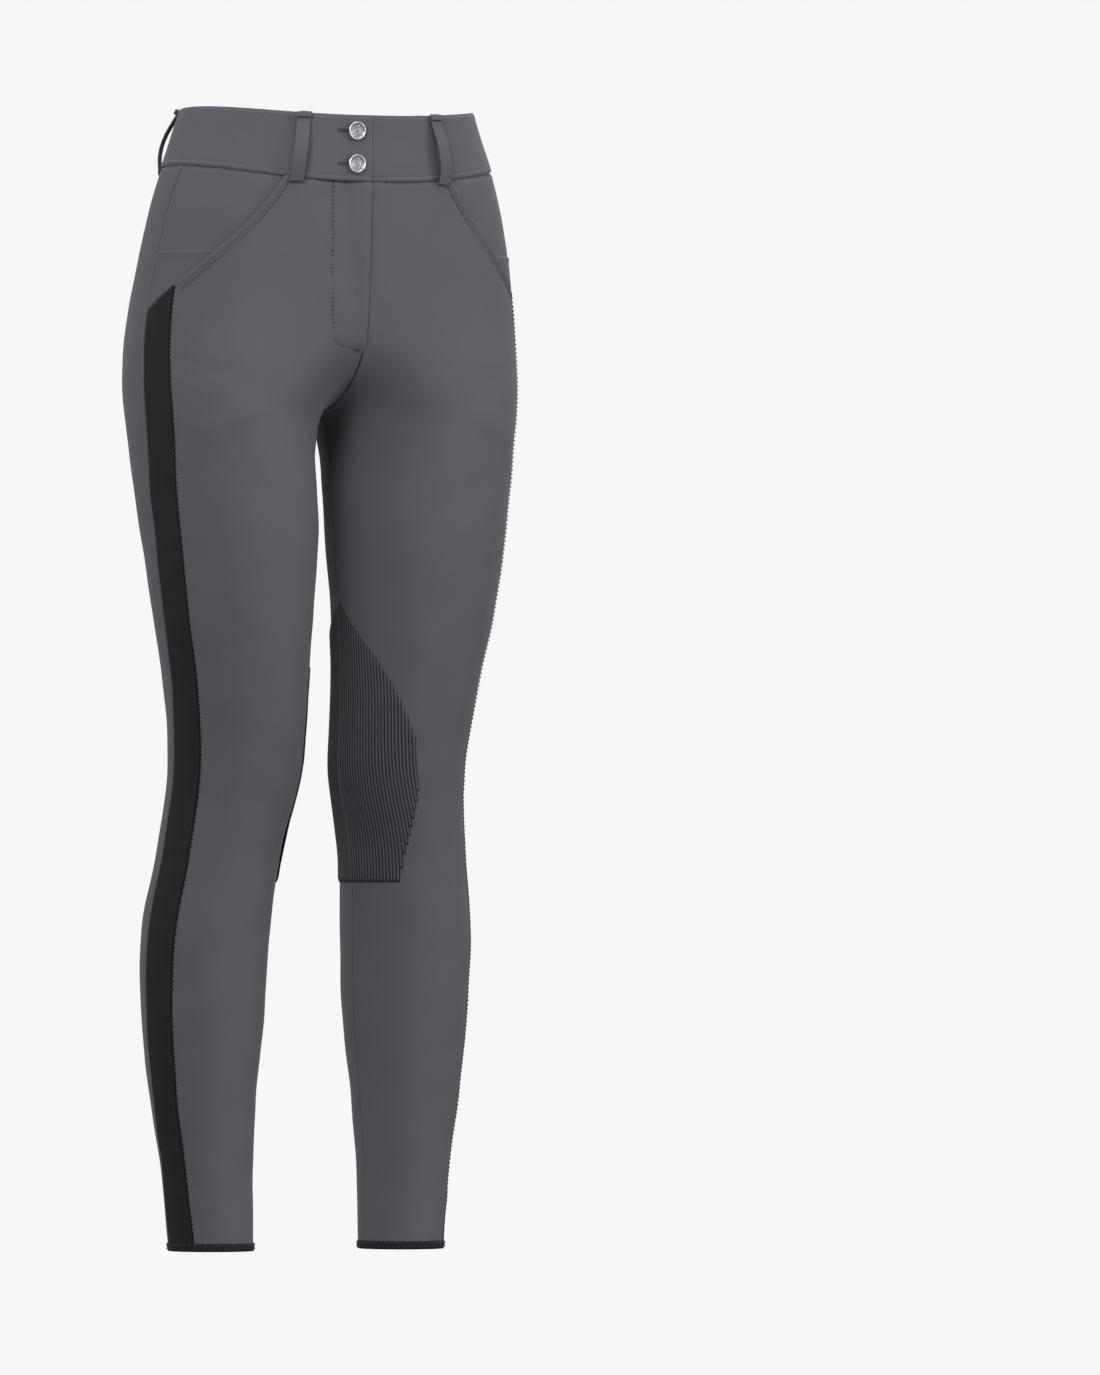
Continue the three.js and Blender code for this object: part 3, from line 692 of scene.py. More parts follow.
def add_panel(name, nodes, material, grid, side, mirror, lift=0.0, thickness=cloth_thickness):
    """A panel as a shell with its outer face on the worn shape's relief."""
    distance, height = grid
    out = relief(distance, height, side) + lift
    outer, _ = surface(distance, height, out)
    inner, _ = surface(distance, height, out - thickness)
    flat = np.stack([distance, height], -1)
    piece = add_wall(f"{name}_{side}", outer, inner, flat, material, mirror < 0)
    carry(piece, *nodes)
    return piece


def carry(piece, slot, *nodes):
    """The piece moves with the garment and stands for CAD nodes, whose parts it hides. Its slot is not
    used.
    """
    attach(piece, "root")
    if nodes:
        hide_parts(*nodes)
    return piece


crotch_rows = [-194, -208, -220, -229, -234.5, -237.2, -238, -240.5, -247, -258]
leg_bottom = hem + 2.0
leg_rows = list(np.linspace(-280, leg_bottom, 60))
waist_rows = [waist_seam + 1.2, -25.2, -26.1, -27.5, -30, -33.4]
below_waist = [-38, -49, -60, -71, -82, -93, -104, -117, -131, -142, -153.5, -172]
side_rows = waist_rows + below_waist + crotch_rows + leg_rows
mouth_rows = waist_rows + below_waist[:8] + [-124, -128, -130, -130.9]
arch_side = waist_rows + [-38, -49, -60, -65, -68, -69.5, -70.4, -71, -76, -80, -82] + below_waist[5:]
arch_back = waist_rows + [-47, -66, -85, -94, -99.5, -102, -103, -103.5, -104, -104.8, -105.2]
arch_back += [-109, -115, -123, -133, -145, -158, -175]
seat_front = [-103.62, -103.9, -104.3, -105.2, -109, -115, -123, -133, -145, -158, -175]
seat_back = [-103.6, -103.75, -104, -104.6, -112, -121, -132, -144, -156, -169, -182]


mouth_stitch, stripe_stitch, seat_stitch, row_end = 8, 1.8, 2.9, 6


def mouth_lift(distance, height):
    """The rolled edge of the pocket mouth: doubled cloth, puffed, and held by its stitches."""
    away = gap(distance, height, mouth_line)
    end = smooth(stripe_top - 4, stripe_top + 10, height)
    puffed = 1.3 * (1 - smooth(5.5, 8.5, away)) + 1.0 * bell(away, 2.6, 2.0)
    return end * (puffed - 0.9 * bell(away, mouth_stitch, 1.2) - 1.6 * (1 - smooth(0, 1.3, away)))


front_grids = {
    "left": panel_grid(centre_front, front_side, side_rows, side_rows, 30),
    "right": panel_grid(fly_edge, front_side, side_rows, side_rows, 30),
}


# Sewn rows: each stitch is a short thread that dips into the cloth at both ends
stitch_lift = 0.45


def thread_mesh(name, rows, side, length, thickness, pitch, material):
    """Stitches along rows of points and outward directions: one three-ring thread for each
    pitch of the row, laid along it, its ends sunk."""
    rings = np.array([[-0.5, 0.35, -0.25], [0, 1, 0.25], [0.5, 0.35, -0.25]])
    turns = np.linspace(0, 2 * np.pi, 6)[:-1]
    along, size, lift = rings[:, None, 0], rings[:, None, 1], rings[:, None, 2]
    shape = np.stack([
        along * length + 0 * turns,
        size * np.cos(turns) * thickness * 0.55,
        size * np.sin(turns) * thickness * 0.5 + lift * thickness,
    ], -1).reshape(-1, 3)
    ring = np.arange(5)
    quads = np.concatenate([
        np.stack([ring + a, (ring + 1) % 5 + a, (ring + 1) % 5 + a + 5, ring + a + 5], -1)
        for a in (0, 5)
    ])
    caps = np.array([[4, 3, 2, 1, 0], [10, 11, 12, 13, 14]])
    found = []
    for row in rows:
        points, normals = row[:, 0], row[:, 1]
        run = np.concatenate([[0], np.cumsum(np.linalg.norm(np.diff(points, axis=0), axis=1))])
        at = np.arange(pitch / 2, run[-1], pitch)

        def on_row(values, where):
            """The row's values at lengths along it."""
            return np.stack([np.interp(where, run, values[:, i]) for i in range(3)], -1)

        way = on_row(points, at + 0.8) - on_row(points, at - 0.8)
        found.append(np.stack([on_row(points, at), way, on_row(normals, at)], 1))
    place, way, up = np.moveaxis(np.concatenate(found), 1, 0)
    way = way / np.linalg.norm(way, axis=1, keepdims=True)
    across = np.cross(up, way)
    across /= np.linalg.norm(across, axis=1, keepdims=True)
    axes = np.stack([way, across, np.cross(way, across)], 1)
    points = (place[:, None] + np.einsum("vk,skj->svj", shape, axes)).reshape(-1, 3)
    first = 15 * np.arange(len(place))[:, None, None]
    faces = (quads + first).reshape(-1, 4).tolist() + (caps + first).reshape(-1, 5).tolist()
    if side == "right":
        points = points * [-1, 1, 1]
        faces = [face[::-1] for face in faces]
    return add_mesh(name, points, faces, material)


def stitch_mesh(name, rows, side, length=2.0, thickness=1.0, pitch=3.7, material=needle_hole_shade_thread):
    """Stitches along rows of (distance, height, out) on the worn shape."""
    placed = [np.stack(surface(*np.asarray(row, float).T), 1) for row in rows]
    return thread_mesh(name, placed, side, length, thickness, pitch, material)


def offset_row(seam, aside, side, lift=None):
    """A row beside a seam, on the relief: its points moved aside on the flat cloth, to the
    back of a seam that runs down where aside is over 0."""
    way = np.gradient(seam, axis=0)
    way /= np.linalg.norm(way, axis=1, keepdims=True)
    moved = seam + aside * np.stack([-way[:, 1], way[:, 0]], -1)
    out = relief(moved[:, 0], moved[:, 1], side) + stitch_lift
    return np.column_stack([moved, out + (0 if lift is None else lift(*moved.T))])


fly_height = np.linspace(fly_line[0, 1] - 2, fly_line[5, 1], 40)
fly_down = np.stack([fly_reach(fly_height) - girth(fly_height, False), fly_height], -1)
fly_turn = fly_line[6:].copy()
fly_turn[:, 0] -= girth(fly_turn[:, 1], False)
fly_row = np.concatenate([fly_down, fly_turn])
tack_row = np.array([[7, -185.6], [5, -186.4], [7, -184.8], [5, -185.8], [8, -185.2]])
tack_row[:, 0] -= girth(tack_row[:, 1], False)
crotch_height = np.linspace(fly_bottom - 3, crotch + 2, 30)
for side, mirror in sides:
    grid = front_grids[side]
    front = add_panel(
        "front_cloth", ("softshell", f"front_{side}"), softshell, grid, side, mirror,
        lift=mouth_lift(*grid),
    )
    stripe_edge = stripe_front_line[stripe_front_line[:, 1] > leg_bottom + row_end]
    rows = [
        offset_row(mouth_line, -mouth_stitch, side, mouth_lift),
        offset_row(stripe_edge, -stripe_stitch, side),
    ]
    if side == "right":
        rows += [offset_row(fly_row, 0, side), offset_row(tack_row, 0, side)]
    # These rows take the near-black thread, whose colour is painted shade of the needle holes.
    stitches = stitch_mesh(f"front_stitching_{side}", rows, side)
    carry(stitches, "softshell")


# Hip facings: softshell behind the pocket mouths. The phone pocket on each is a patch
# that is open along its turned top edge.
facing_rows = waist_rows + below_waist[:10] + [-148, -151.5]
phone_rows = [-100, -100.5, -101.2, -102.2, -104, -107] + below_waist[7:10] + [-148, -151]
phone_top = -100.0


def under_mouth(distance, height):
    """The facing lies below the rolled edge and slips in under it."""
    away = distance - column(pocket_seams, mouth_column, height)
    return -0.7 * (1 - smooth(-1, 9, away)) * smooth(stripe_top - 6, stripe_top + 6, height)


def patch_lift(distance, height):
    """The phone pocket's layer, with the low roll of its hem along the top."""
    down = phone_top - height
    return 0.6 + 0.55 * bell(down, 2.2, 2.0) - 0.7 * (1 - smooth(0, 1.0, down)) - 0.25 * bell(down, 6, 1)


for side, mirror in sides:
    grid = panel_grid(facing_front, facing_back, facing_rows, facing_rows, 14)
    facing = add_panel(
        "hip_facing_cloth", ("softshell", f"hip_facing_{side}"), softshell, grid, side, mirror,
        lift=under_mouth(*grid), thickness=0.8,
    )
    grid = panel_grid(facing_front, facing_back, phone_rows, phone_rows, 14)
    phone = add_panel(
        "phone_pocket_cloth", ("softshell", f"phone_pocket_{side}"), softshell, grid, side, mirror,
        lift=patch_lift(*grid) + under_mouth(*grid), thickness=0.5,
    )


# Side stripes: a smoother black stretch cloth, slanted at the top and down to the hem
stripe_rows = [-131.6, -132.4, -134, -137] + below_waist[9:] + crotch_rows + leg_rows
for side, mirror in sides:
    grid = panel_grid(stripe_front, stripe_back, stripe_rows, stripe_rows, 8)
    stripe = add_panel(
        "stripe_cloth", ("stripe", f"stripe_{side}"), stripe_cloth, grid, side, mirror,
    )


# Outer backs and seats: softshell, joined by the arched seam that runs on down the leg.
# Its allowances are pressed open and sewn down by one row on each side.
for side, mirror in sides:
    grid = panel_grid(back_side, seat_edge, arch_side + crotch_rows + leg_rows,
                      arch_back + crotch_rows + leg_rows, 20)
    outer_back = add_panel(
        "back_outer_cloth", ("softshell", f"back_outer_{side}"), softshell, grid, side, mirror,
    )
    grid = panel_grid(seat_edge, centre_back, seat_front + crotch_rows + leg_rows,
                      seat_back + crotch_rows + leg_rows, 24)
    seat = add_panel("seat_cloth", ("softshell", f"seat_{side}"), softshell, grid, side, mirror)
    sewn = seat_line[seat_line[:, 1] > leg_bottom + row_end][1:]
    rows = [offset_row(sewn, aside, side) for aside in (seat_stitch, -seat_stitch)]
    stitches = stitch_mesh(f"seat_stitching_{side}", rows, side, material=seam_thread_painted_shade)
    carry(stitches, "softshell")


# Knee grips: dark rubbery patches over the inseam, ribbed from top to bottom
grip_reach = np.array([  # height, to the front on the left and on the right leg, to the back
    [-406, 2, 2, 2], [-418, 12, 8, 20], [-436, 29, 15, 40], [-455, 45, 19, 57],
    [-478, 59, 21, 71], [-502, 70, 21.5, 81], [-523, 77, 20.5, 87], [-548, 80, 19.5, 88],
    [-573, 76, 18, 81], [-600, 65, 16.5, 70], [-626, 55, 15.5, 61], [-650, 50, 15, 55],
])
rib_pitch, rib_depth, rib_samples, grip_rows = 3.0, 0.55, 8, 56
grip_base, grip_top = 0.55, 1.25


def grip_material(name, colour, line_colour):
    """A dull rubbery print over cloth: one dark line to each rib, and a fine speckle in colour and bump."""
    material, tree = new_material(name)
    flat = add(tree, "ShaderNodeUVMap", uv_map="UVMap").outputs[0]
    lines = add(
        tree, "ShaderNodeTexWave", {"Vector": flat, "Scale": wave_period / (rib_pitch * MM)},
        bands_direction="X", wave_profile="SIN",
    )
    speckle = add(tree, "ShaderNodeTexNoise", {"Vector": flat, "Scale": 1400.0, "Detail": 2.0})
    mixed = add(
        tree, "ShaderNodeMath", {0: speckle.outputs[0], 1: 0.5, 2: lines.outputs["Fac"]},
        operation="MULTIPLY_ADD",
    )
    sharp = add(
        tree, "ShaderNodeMapRange", {0: mixed.outputs[0], 1: 0.35, 2: 1.0, 3: 0.0, 4: 1.0}
    )
    shade = add(
        tree, "ShaderNodeMix",
        {0: sharp.outputs[0], 6: linear(line_colour), 7: linear(colour)}, data_type="RGBA",
    )
    bump = add(
        tree, "ShaderNodeBump",
        {"Strength": 0.3, "Distance": 0.00008, "Height": speckle.outputs[0]},
    )
    rubber = add(tree, "ShaderNodeBsdfPrincipled", {
        "Base Color": shade.outputs[2],
        "Roughness": 0.62,
        "Specular IOR Level": 0.35,
        "Normal": bump.outputs[0],
    })
    add(tree, "ShaderNodeOutputMaterial", {"Surface": rubber.outputs[0]})
    return material


grip_rubber = grip_material("grip_rubber", "#5b595f", "#232226")


def inseam_distance(past, height):
    """The distance from the side line of a point so far past the inseam, minus to the front."""
    return np.where(past < 0, -(girth(height, False) + past), girth(height, True) - past)


def grip_outline(past, front_column):
    """The top and the bottom of the patch on a rib, by turning its reach table round."""
    ends = []
    for rising in (True, False):
        both = []
        for index in (front_column, 3):
            widest = int(np.argmax(grip_reach[:, index]))
            part = grip_reach[: widest + 1] if rising else grip_reach[widest:][::-1]
            both.append(np.interp(np.abs(past), part[:, index], part[:, 0]))
        ends.append(np.where(past < 0, both[0], both[1]))
    return ends


grip_ribs_back = int(87 / rib_pitch)
edge_heights = np.linspace(-408, -650, 90)
for side, mirror, front_column, ribs_front, flat_size, flat_area in (
    ("left", 1, 1, int(79 / rib_pitch), (0.166, 0.244), 0.0290),
    ("right", -1, 2, int(21 / rib_pitch), (0.108, 0.244), 0.0190),
):
    first, last = -ribs_front * rib_samples, grip_ribs_back * rib_samples
    past = np.arange(first, last + 1) * rib_pitch / rib_samples
    high, low = grip_outline((np.floor(past / rib_pitch) + 0.5) * rib_pitch, front_column)
    heights = high + (low - high) * np.linspace(0, 1, grip_rows)[:, None]
    past = np.broadcast_to(past, heights.shape)
    ribs = 0.5 - 0.5 * np.cos(2 * np.pi * past / rib_pitch)
    from_ends = np.minimum(high - heights, heights - low)
    rise = (grip_top - grip_base + rib_depth * ribs) * smooth(-0.4, 0.8, from_ends)
    distance = inseam_distance(past, heights)
    rest = relief(distance, heights, side)
    outer, _ = surface(distance, heights, rest + grip_base + rise)
    inner, _ = surface(distance, heights, rest + 0.1)
    flat = np.stack([past, heights], -1)
    grip = add_wall(f"knee_grip_ribs_{side}", outer, inner, flat, grip_rubber, mirror < 0)
    carry(grip, "grip", f"knee_grip_{side}")


# Waistband: one contoured softshell strip, doubled and turned in at its edges. The
# wearer's right end lies on top at the centre front and the left end runs on below it.
band_cloth, band_proud, lap_length, lap_rise, lap_ease, lap_start = 2.0, 0.65, 38, 1.2, 14, 2.5
band_girth = girth(0, False)
near_end = np.array([0, 0.3, 0.8, 1.5, 2.6, 4.2, 6.5, 9.5]) / band_girth
half_way = np.linspace(near_end[-1] + 0.02, 2, 110)
lap_count, station_step = 9, 3.2
station_share = np.concatenate([
    -1 - 0.3 / band_girth + near_end, -1 + half_way,
    (-1 + half_way)[-2::-1], -1 + near_end[::-1],
    -1 + np.linspace(3, lap_length, lap_count) / band_girth,
])
stations = np.arange(len(station_share))
on_right = stations < len(near_end) + len(half_way)
under = stations >= len(stations) - lap_count
from_centre = (1 + station_share) * band_girth
right_lift = lap_rise * (1 - smooth(lap_length, lap_length + lap_ease, from_centre))
left_lift = -lap_rise * (1 - smooth(lap_start, lap_ease, from_centre))
lap_lift = np.where(on_right, right_lift, np.where(under, -lap_rise, left_lift))
band_base = np.array(
    [27, 26.8, 26.3, 25.5, 24.6, 23.6, 22.4, 19.5, 15, 11, 7, 3, -1, -5, -9, -13, -17, -19.1,
     -20.1, -20.9, -21.9, -22.7, -23.4, -23.9, -24.15], float,
)
band_heights = lowered(band_base[:, None], station_share)
band_distance = station_share * girth(band_heights, station_share >= 0)
to_top, to_bottom = waist_top - band_base[:, None], band_base[:, None] + 24.2
band_form = 0.35 - 1.1 * (1 - smooth(0, 1.5, to_top)) - 1.1 * (1 - smooth(0, 1.3, to_bottom))
band_form = band_form - 0.22 * bell(to_top, 2.6, 0.7) - 0.3 * bell(to_bottom, 3.4, 0.8)
band_form = band_form + 0.15 * np.sin(band_distance / 23) * np.sin(band_base[:, None] / 9 + 1)
end_roll = 0.9 * (1 - smooth(-0.3, 1.4, from_centre)) * on_right
band_out = band_proud - 0.3 + lap_lift + band_form - end_roll
mirror_right = np.where(on_right | under, -1, 1)[:, None] * [1, 0, 0] + [0, 1, 1]
outer, _ = surface(band_distance, band_heights, band_out)
inner, _ = surface(band_distance, band_heights, band_proud - 0.35 + lap_lift - band_cloth)
band_flat = np.stack(np.broadcast_arrays(station_step * (stations + 1), band_heights), -1)
waistband = add_wall(
    "waistband_cloth", outer * mirror_right, inner * mirror_right, band_flat, softshell, False,
)
carry(waistband, "softshell", "waistband")


def band_row(share, above_seam, lift):
    """A row of sewing along the band, so far above its lower edge."""
    base = np.full_like(share, waist_seam + above_seam)
    height = lowered(base, share)
    distance = share * girth(height, share >= 0)
    return np.column_stack([distance, height, np.full_like(share, band_proud + lift)])


band_stitch_rows = (3.7, 48.9)
whole = np.linspace(-1 + 2 / band_girth, 1, 160)
beyond = np.linspace(-1 + lap_ease / band_girth, 1, 160)
for side, mirror in sides:
    share = whole if side == "right" else beyond
    lap = lap_rise * (1 - smooth(lap_length, lap_length + lap_ease, (1 + share) * band_girth))
    lap = lap if side == "right" else 0
    rows = [band_row(share, above_seam, lap - 0.15) for above_seam in band_stitch_rows]
    stitches = stitch_mesh(
        f"band_stitching_{side}", rows, side, length=2.2, pitch=3.0, material=pale_thread,
    )
    carry(stitches, "softshell")


# Hem bindings: black elastic tape folded round each leg's edge, with small generic dots
# of grip printed round it
tape_row_step = 1.5
tape_outer = np.array([  # height and distance out from the worn shape, down and back up
    [-966.0, 0.45], [-966.3, 0.8], [-967.2, 0.95], [-969, 1.0], [-971.4, 0.95], [-972.7, 0.6],
    [-973.3, -0.2], [-973.4, -1.0], [-973.2, -1.7], [-972.4, -2.2], [-971, -2.35], [-966.2, -2.35],
])
tape_inner = np.array([
    [-966.0, 0.25], [-966.35, 0.3], [-967.2, 0.35], [-969, 0.4], [-971.2, 0.35], [-972.1, 0.15],
    [-972.6, -0.3], [-972.7, -0.9], [-972.5, -1.3], [-972.0, -1.6], [-971, -1.75], [-966.2, -1.75],
])
tape_girth = float(girth(hem, False) + girth(hem, True))
round_hem = np.linspace(0, tape_girth, 97)[:-1] - float(girth(hem, False))
dot_pitch, dot_lift = 4.8, 1.05
dot_rows = ((-967.9, 0.0), (-970.9, 2.4))  # height, start round the hem
dot_material = thread("grip_dots", "#3d3c42")
for side, mirror in sides:
    walls = []
    for profile in (tape_outer, tape_inner):
        grid = np.broadcast_arrays(round_hem[None, :], profile[:, :1], profile[:, 1:])
        walls.append(surface(*grid)[0])
    down_tape = np.arange(len(tape_outer))[:, None] * tape_row_step
    flat = np.stack(np.broadcast_arrays(round_hem[None, :], down_tape), -1)
    tape = add_wall(f"hem_tape_{side}", walls[0], walls[1], flat, tape_cloth, mirror < 0, ring=True)
    carry(tape, "binding", f"hem_binding_{side}")
    rows = []
    for height, start in dot_rows:
        at = np.linspace(start, tape_girth + start - dot_pitch, 200) - float(girth(hem, False))
        rows.append(np.column_stack([at, np.full_like(at, height), np.full_like(at, dot_lift)]))
    dots = stitch_mesh(
        f"hem_dots_{side}", rows, side, length=1.7, thickness=1.1, pitch=dot_pitch,
        material=dot_material,
    )
    carry(dots, "binding")


# Belt loops: softshell strips with two sewn rows, turned under at both ends and standing
# off the waistband so that a belt goes through
loop_level, loop_half, loop_skin, loop_stitch = -1, 6, 0.75, 4.1
loop_path = np.array([  # height, and how far the strip's middle stands off the worn shape
    [23.2, 4.7], [25, 4.75], [26.5, 4.45], [27.1, 3.6], [26.5, 2.75], [24.6, 2.4], [22, 2.8],
    [18, 4.2], [12.5, 6.0], [7, 7.7], [0, 8.8], [-6.5, 8.9], [-13, 8.1], [-19, 6.4], [-24, 4.5],
    [-27.4, 3.7], [-29, 2.8], [-27.8, 1.9], [-24, 1.8],
])


def through(points, steps):
    """A smooth curve through points: a Catmull-Rom spline with so many steps a span."""
    ends = np.concatenate([[2 * points[0] - points[1]], points, [2 * points[-1] - points[-2]]])
    t = (np.arange(steps) / steps)[:, None]
    a, b, c, d = ends[:-3, None], ends[1:-2, None], ends[2:-1, None], ends[3:, None]
    curve = b + 0.5 * t * (c - a + t * (2 * a - 5 * b + 4 * c - d + t * (3 * (b - c) + d - a)))
    return np.concatenate([curve.reshape(-1, points.shape[1]), points[-1:]])


loop_run = through(loop_path, 7)
across_loop = np.array([
    -6, -5.93, -5.75, -5.45, -5.1, -4.75, -4.4, -3.8, -2.6, -1.2, 0, 1.2, 2.6, 3.8, 4.4, 4.75,
    5.1, 5.45, 5.75, 5.93, 6,
])
to_loop_edge = loop_half - np.abs(across_loop)
loop_face = loop_skin - loop_skin * (1 - smooth(0, loop_skin, to_loop_edge))
loop_face -= 0.35 * bell(np.abs(across_loop), loop_stitch, 0.6)
loop_face += 0.15 * bell(across_loop, 0, 3)
loop_underside = -loop_skin + 0.3 * (1 - smooth(0, 0.6, to_loop_edge))
loop_wide = 1 + 0.13 * (1 - smooth(26, 34, np.arange(len(loop_run))))
loop_sewn = slice(40, 111)
loops = [
    # place, share of the half girth from the side line, side
    ("front_left", -0.655, "left"), ("side_left", 0.32, "left"), ("back", 1.0, "left"),
    ("side_right", 0.32, "right"), ("front_right", -0.655, "right"),
]


def loop_line(share, across):
    """The loop's middle line moved across, and the direction across it, on the left half."""
    back = share > 0
    height = lowered(loop_run[:, 0], share)
    foot, _ = surface(share * girth(height, back), height)
    middle = share * girth(loop_level, back)
    way = surface(middle + 0.8, loop_level)[0] - surface(middle - 0.8, loop_level)[0]
    way = np.array([-1.0, 0, 0]) if share == 1 else way * [1, 1, 0]
    way = way / np.linalg.norm(way)
    face = np.array([way[1], -way[0], 0])
    return foot + face * loop_run[:, 1:] + way * across, way


for name, share, side in loops:
    middle, way = loop_line(share, 0)
    run = np.gradient(middle, axis=0)
    normal = np.cross(way, run)
    normal /= np.linalg.norm(normal, axis=1, keepdims=True)
    place = middle[:, None] + (loop_wide[:, None] * across_loop)[..., None] * way
    outer = place + normal[:, None] * loop_face[:, None]
    inner = place + normal[:, None] * loop_underside[:, None]
    length = np.concatenate([[0], np.cumsum(np.linalg.norm(np.diff(middle, axis=0), axis=1))])
    flat = np.stack(np.broadcast_arrays(across_loop[None, :], length[:, None]), -1)
    loop = add_wall(f"loop_{name}", outer[::-1], inner[::-1], flat[::-1], softshell, side == "right")
    carry(loop, "softshell", f"belt_loop_{name}")
    rows = [
        np.stack([middle + way * aside + normal * 0.5, normal], 1)[loop_sewn]
        for aside in (-loop_stitch, loop_stitch)
    ]
    stitches = thread_mesh(f"loop_stitching_{name}", rows, side, 1.7, 0.6, 2.6, seam_thread_painted_shade)
    carry(stitches, "softshell")


# Shank buttons: steel, with a polished raised rim round a brushed, hollowed face that
# is ringed like a gramophone record and has a dark dimple in the middle
def metal(name, colour, roughness, ring_bump, ring_pitch=0.0006):
    """Steel: fine concentric turning marks about the button's middle in bump and colour, by
    bands over the radius that its UV holds."""
    material, tree = new_material(name)
    flat = add(tree, "ShaderNodeUVMap", uv_map="UVMap").outputs[0]
    wave = add(
        tree, "ShaderNodeTexWave",
        {"Vector": flat, "Scale": wave_period / ring_pitch, "Distortion": 0.2},
        bands_direction="X",
    )
    shade = add(
        tree, "ShaderNodeMix",
        {0: wave.outputs["Fac"], 6: linear(colour), 7: linear("#c9c7c9")}, data_type="RGBA",
    )
    bump = add(
        tree, "ShaderNodeBump",
        {"Strength": ring_bump, "Distance": 0.00006, "Height": wave.outputs["Fac"]},
    )
    steel = add(tree, "ShaderNodeBsdfPrincipled", {
        "Base Color": shade.outputs[2],
        "Metallic": 1.0,
        "Roughness": roughness,
        "Normal": bump.outputs[0],
    })
    add(tree, "ShaderNodeOutputMaterial", {"Surface": steel.outputs[0]})
    return material


polished_steel = metal("polished_steel", "#efedef", 0.36, 0.0)
brushed_steel = metal("brushed_steel", "#7d7b7e", 0.46, 0.9)
dimple_black = metal("dimple_dark", "#2a292b", 0.5, 0.0)
button_from_edge, button_heights, button_turns = 16, (4.4, -24.4), 72
button_profile = np.array([  # radius, height over the cloth and the material's number
    [0.0, 0.2, 0], [3.6, 0.2, 0], [3.8, 0.9, 0], [6.9, 1.0, 0], [7.8, 1.25, 0], [8.2, 1.8, 0],
    [8.25, 2.4, 0], [8.05, 3.0, 0], [7.6, 3.35, 0], [7.1, 3.4, 0], [6.65, 3.2, 0], [6.35, 2.8, 0],
    [6.1, 2.55, 1], [5.4, 2.42, 1], [4.6, 2.34, 1], [3.8, 2.28, 1], [3.0, 2.24, 1], [2.2, 2.22, 1],
    [1.5, 2.24, 1], [1.1, 2.4, 1], [0.75, 2.3, 2], [0.4, 2.0, 2], [0.0, 1.9, 2],
])
turn = np.linspace(0, 2 * np.pi, button_turns + 1)[:-1]
circle = np.stack([np.cos(turn), np.sin(turn)], -1)
for number, height in enumerate(button_heights, 1):
    distance = -(girth(height, False) - button_from_edge)
    seat_point, up = surface(distance, height, band_proud + lap_rise + 0.35)
    seat_point, up = seat_point * [-1, 1, 1], up * [-1, 1, 1]
    level = np.cross(up, [0, 0, 1])
    level /= np.linalg.norm(level)
    upright = np.cross(level, up)
    rings = [
        seat_point + up * rise + radius * (circle[:, :1] * level + circle[:, 1:] * upright)
        for radius, rise, _ in button_profile[1:-1]
    ]
    count = len(rings)
    poles = [[seat_point + up * button_profile[end, 1]] for end in (0, -1)]
    points = np.concatenate(rings + poles)
    index = np.arange(count * button_turns).reshape(count, button_turns)
    index = np.hstack([index, index[:, :1]])
    quads = np.stack([index[:-1, :-1], index[:-1, 1:], index[1:, 1:], index[1:, :-1]], -1)
    bottom = [[count * button_turns, index[0, i + 1], index[0, i]] for i in range(button_turns)]
    top = [[count * button_turns + 1, index[-1, i], index[-1, i + 1]] for i in range(button_turns)]
    of_ring = np.repeat(button_profile[2:-1, 2], button_turns)
    of_pole = np.repeat([0, 2], button_turns)
    radii = np.append(np.repeat(button_profile[1:-1, 0], button_turns), [0, 0])
    button = add_mesh(
        f"button_{number}_steel", points, quads.reshape(-1, 4).tolist() + bottom + top,
        [polished_steel, brushed_steel, dimple_black], np.stack([radii, 0 * radii], -1),
        face_materials=np.append(of_ring, of_pole),
    )
    carry(button, "steel", f"button_{number}")


# Buttonholes: in the band's upper end, sewn round with close stitches; their outer ends
# show beside the buttons
hole_reach, hole_half = (7.5, 17.0), 1.5
rows = []
for height in button_heights:
    from_front = button_from_edge + np.linspace(*hole_reach, 22)
    for start, end in ((0.25, hole_half), (-0.25, -hole_half)):
        for at in from_front:
            rise = height + np.array([start, end])
            distance = -(girth(rise, False) - at)
            rows.append(np.column_stack([distance, rise, np.full(2, band_proud + lap_rise + 0.1)]))
# These stitches take the near-black thread, whose colour is painted shade.
buttonholes = stitch_mesh("buttonhole_stitching", rows, "right", length=1.4, thickness=0.4, pitch=1.2)
carry(buttonholes, "softshell")
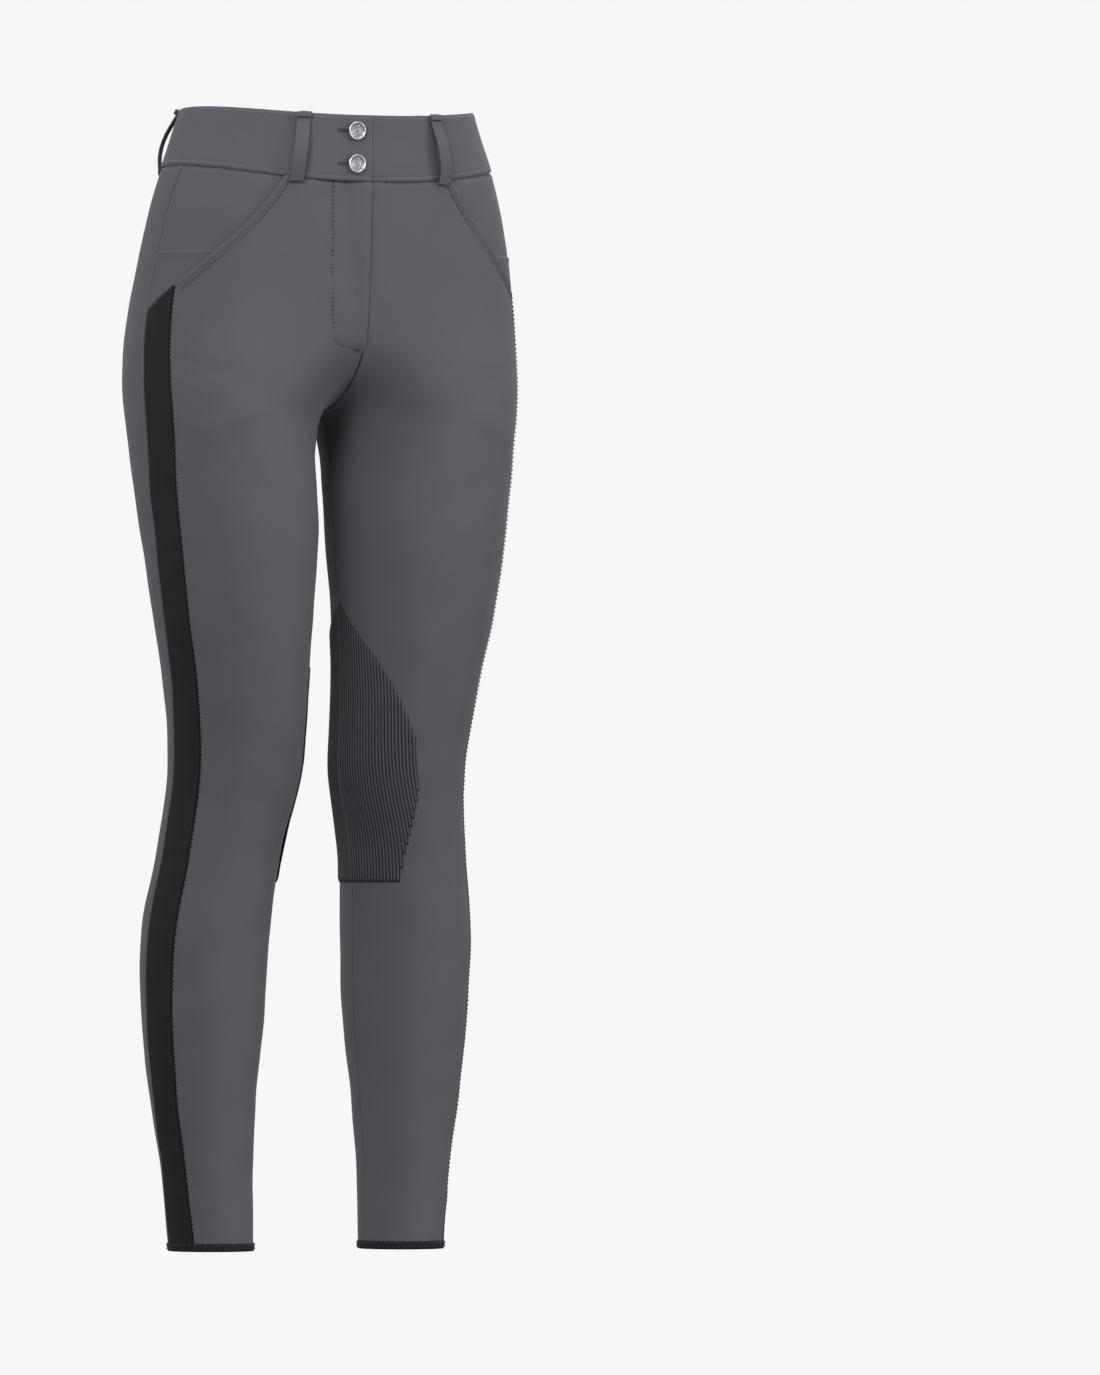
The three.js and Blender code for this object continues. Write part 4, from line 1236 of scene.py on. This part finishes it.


# Welt pockets: two folded softshell lips that meet at a slit, framed by sewing. The slit's faces are
# painted near-black as painted shade of the opening.
welt_start, welt_end, welt_height, welt_arch, welt_half = 71, 188, -54, 2, 5.1
welt_frame, slit_half = 2, 0.35
# Painted shade: a near-black material for the slit's faces, standing for the shadow inside the opening.
welt_slit_painted_shade = thread("welt_slit_painted_shade", "#121114")
welt_across = np.array([
    5.1, 5.05, 4.9, 4.6, 4.1, 3.4, 2.6, 1.8, 1.1, 0.65, 0.4, 0.25, -0.25, -0.4, -0.65, -1.1, -1.8,
    -2.6, -3.4, -4.1, -4.6, -4.9, -5.05, -5.1,
])
welt_form = 1.25 * np.sqrt(np.clip(1 - ((np.abs(welt_across) - 2.6) / 2.7) ** 2, 0, 1))
welt_form = np.where(np.abs(welt_across) < 0.3, -0.2, welt_form + 0.1)
welt_along = np.concatenate([[0, 0.004, 0.012], np.linspace(0.025, 0.975, 44), [0.988, 0.996, 1]])
for side, mirror in sides:
    height = welt_height + welt_arch * np.sin(np.pi * welt_along) + welt_across[:, None]
    distance = np.broadcast_to(welt_start + (welt_end - welt_start) * welt_along, height.shape)
    rest = relief(distance, height, side)
    ends = smooth(0, 0.012, np.minimum(welt_along, 1 - welt_along))
    outer, _ = surface(distance, height, rest + 0.05 + welt_form[:, None] * (0.25 + 0.75 * ends))
    inner, _ = surface(distance, height, rest - 0.75)
    flat = np.stack([distance, height], -1)
    # Faces of the slit, which take the painted shade material.
    slit = np.repeat(np.abs(welt_across[:-1] + welt_across[1:]) / 2 < slit_half, len(welt_along) - 1)
    rims = 2 * (len(welt_across) + len(welt_along) - 2)
    faces = np.concatenate([slit, np.zeros(len(slit) + rims)])
    welt = add_wall(
        f"welt_lips_{side}", outer, inner, flat, [softshell, welt_slit_painted_shade], mirror < 0,
        face_materials=faces,
    )
    carry(welt, "softshell", f"welt_upper_{side}", f"welt_lower_{side}")
    frame_rows = []
    for rise in (welt_half + welt_frame, -welt_half - welt_frame):
        at = np.linspace(welt_start - welt_frame, welt_end + welt_frame, 60)
        arched = welt_arch * np.sin(np.pi * (at - welt_start) / (welt_end - welt_start))
        level = welt_height + arched + rise
        frame_rows.append(np.column_stack([at, level, relief(at, level, side) + 0.1]))
    for at in (welt_start - welt_frame, welt_end + welt_frame):
        level = welt_height + np.linspace(-1, 1, 12) * (welt_half + welt_frame)
        place = np.full_like(level, at)
        frame_rows.append(np.column_stack([place, level, relief(place, level, side) + 0.1]))
    stitches = stitch_mesh(
        f"welt_stitching_{side}", frame_rows, side, length=1.9, pitch=2.6, material=seam_thread_painted_shade,
    )
    carry(stitches, "softshell")
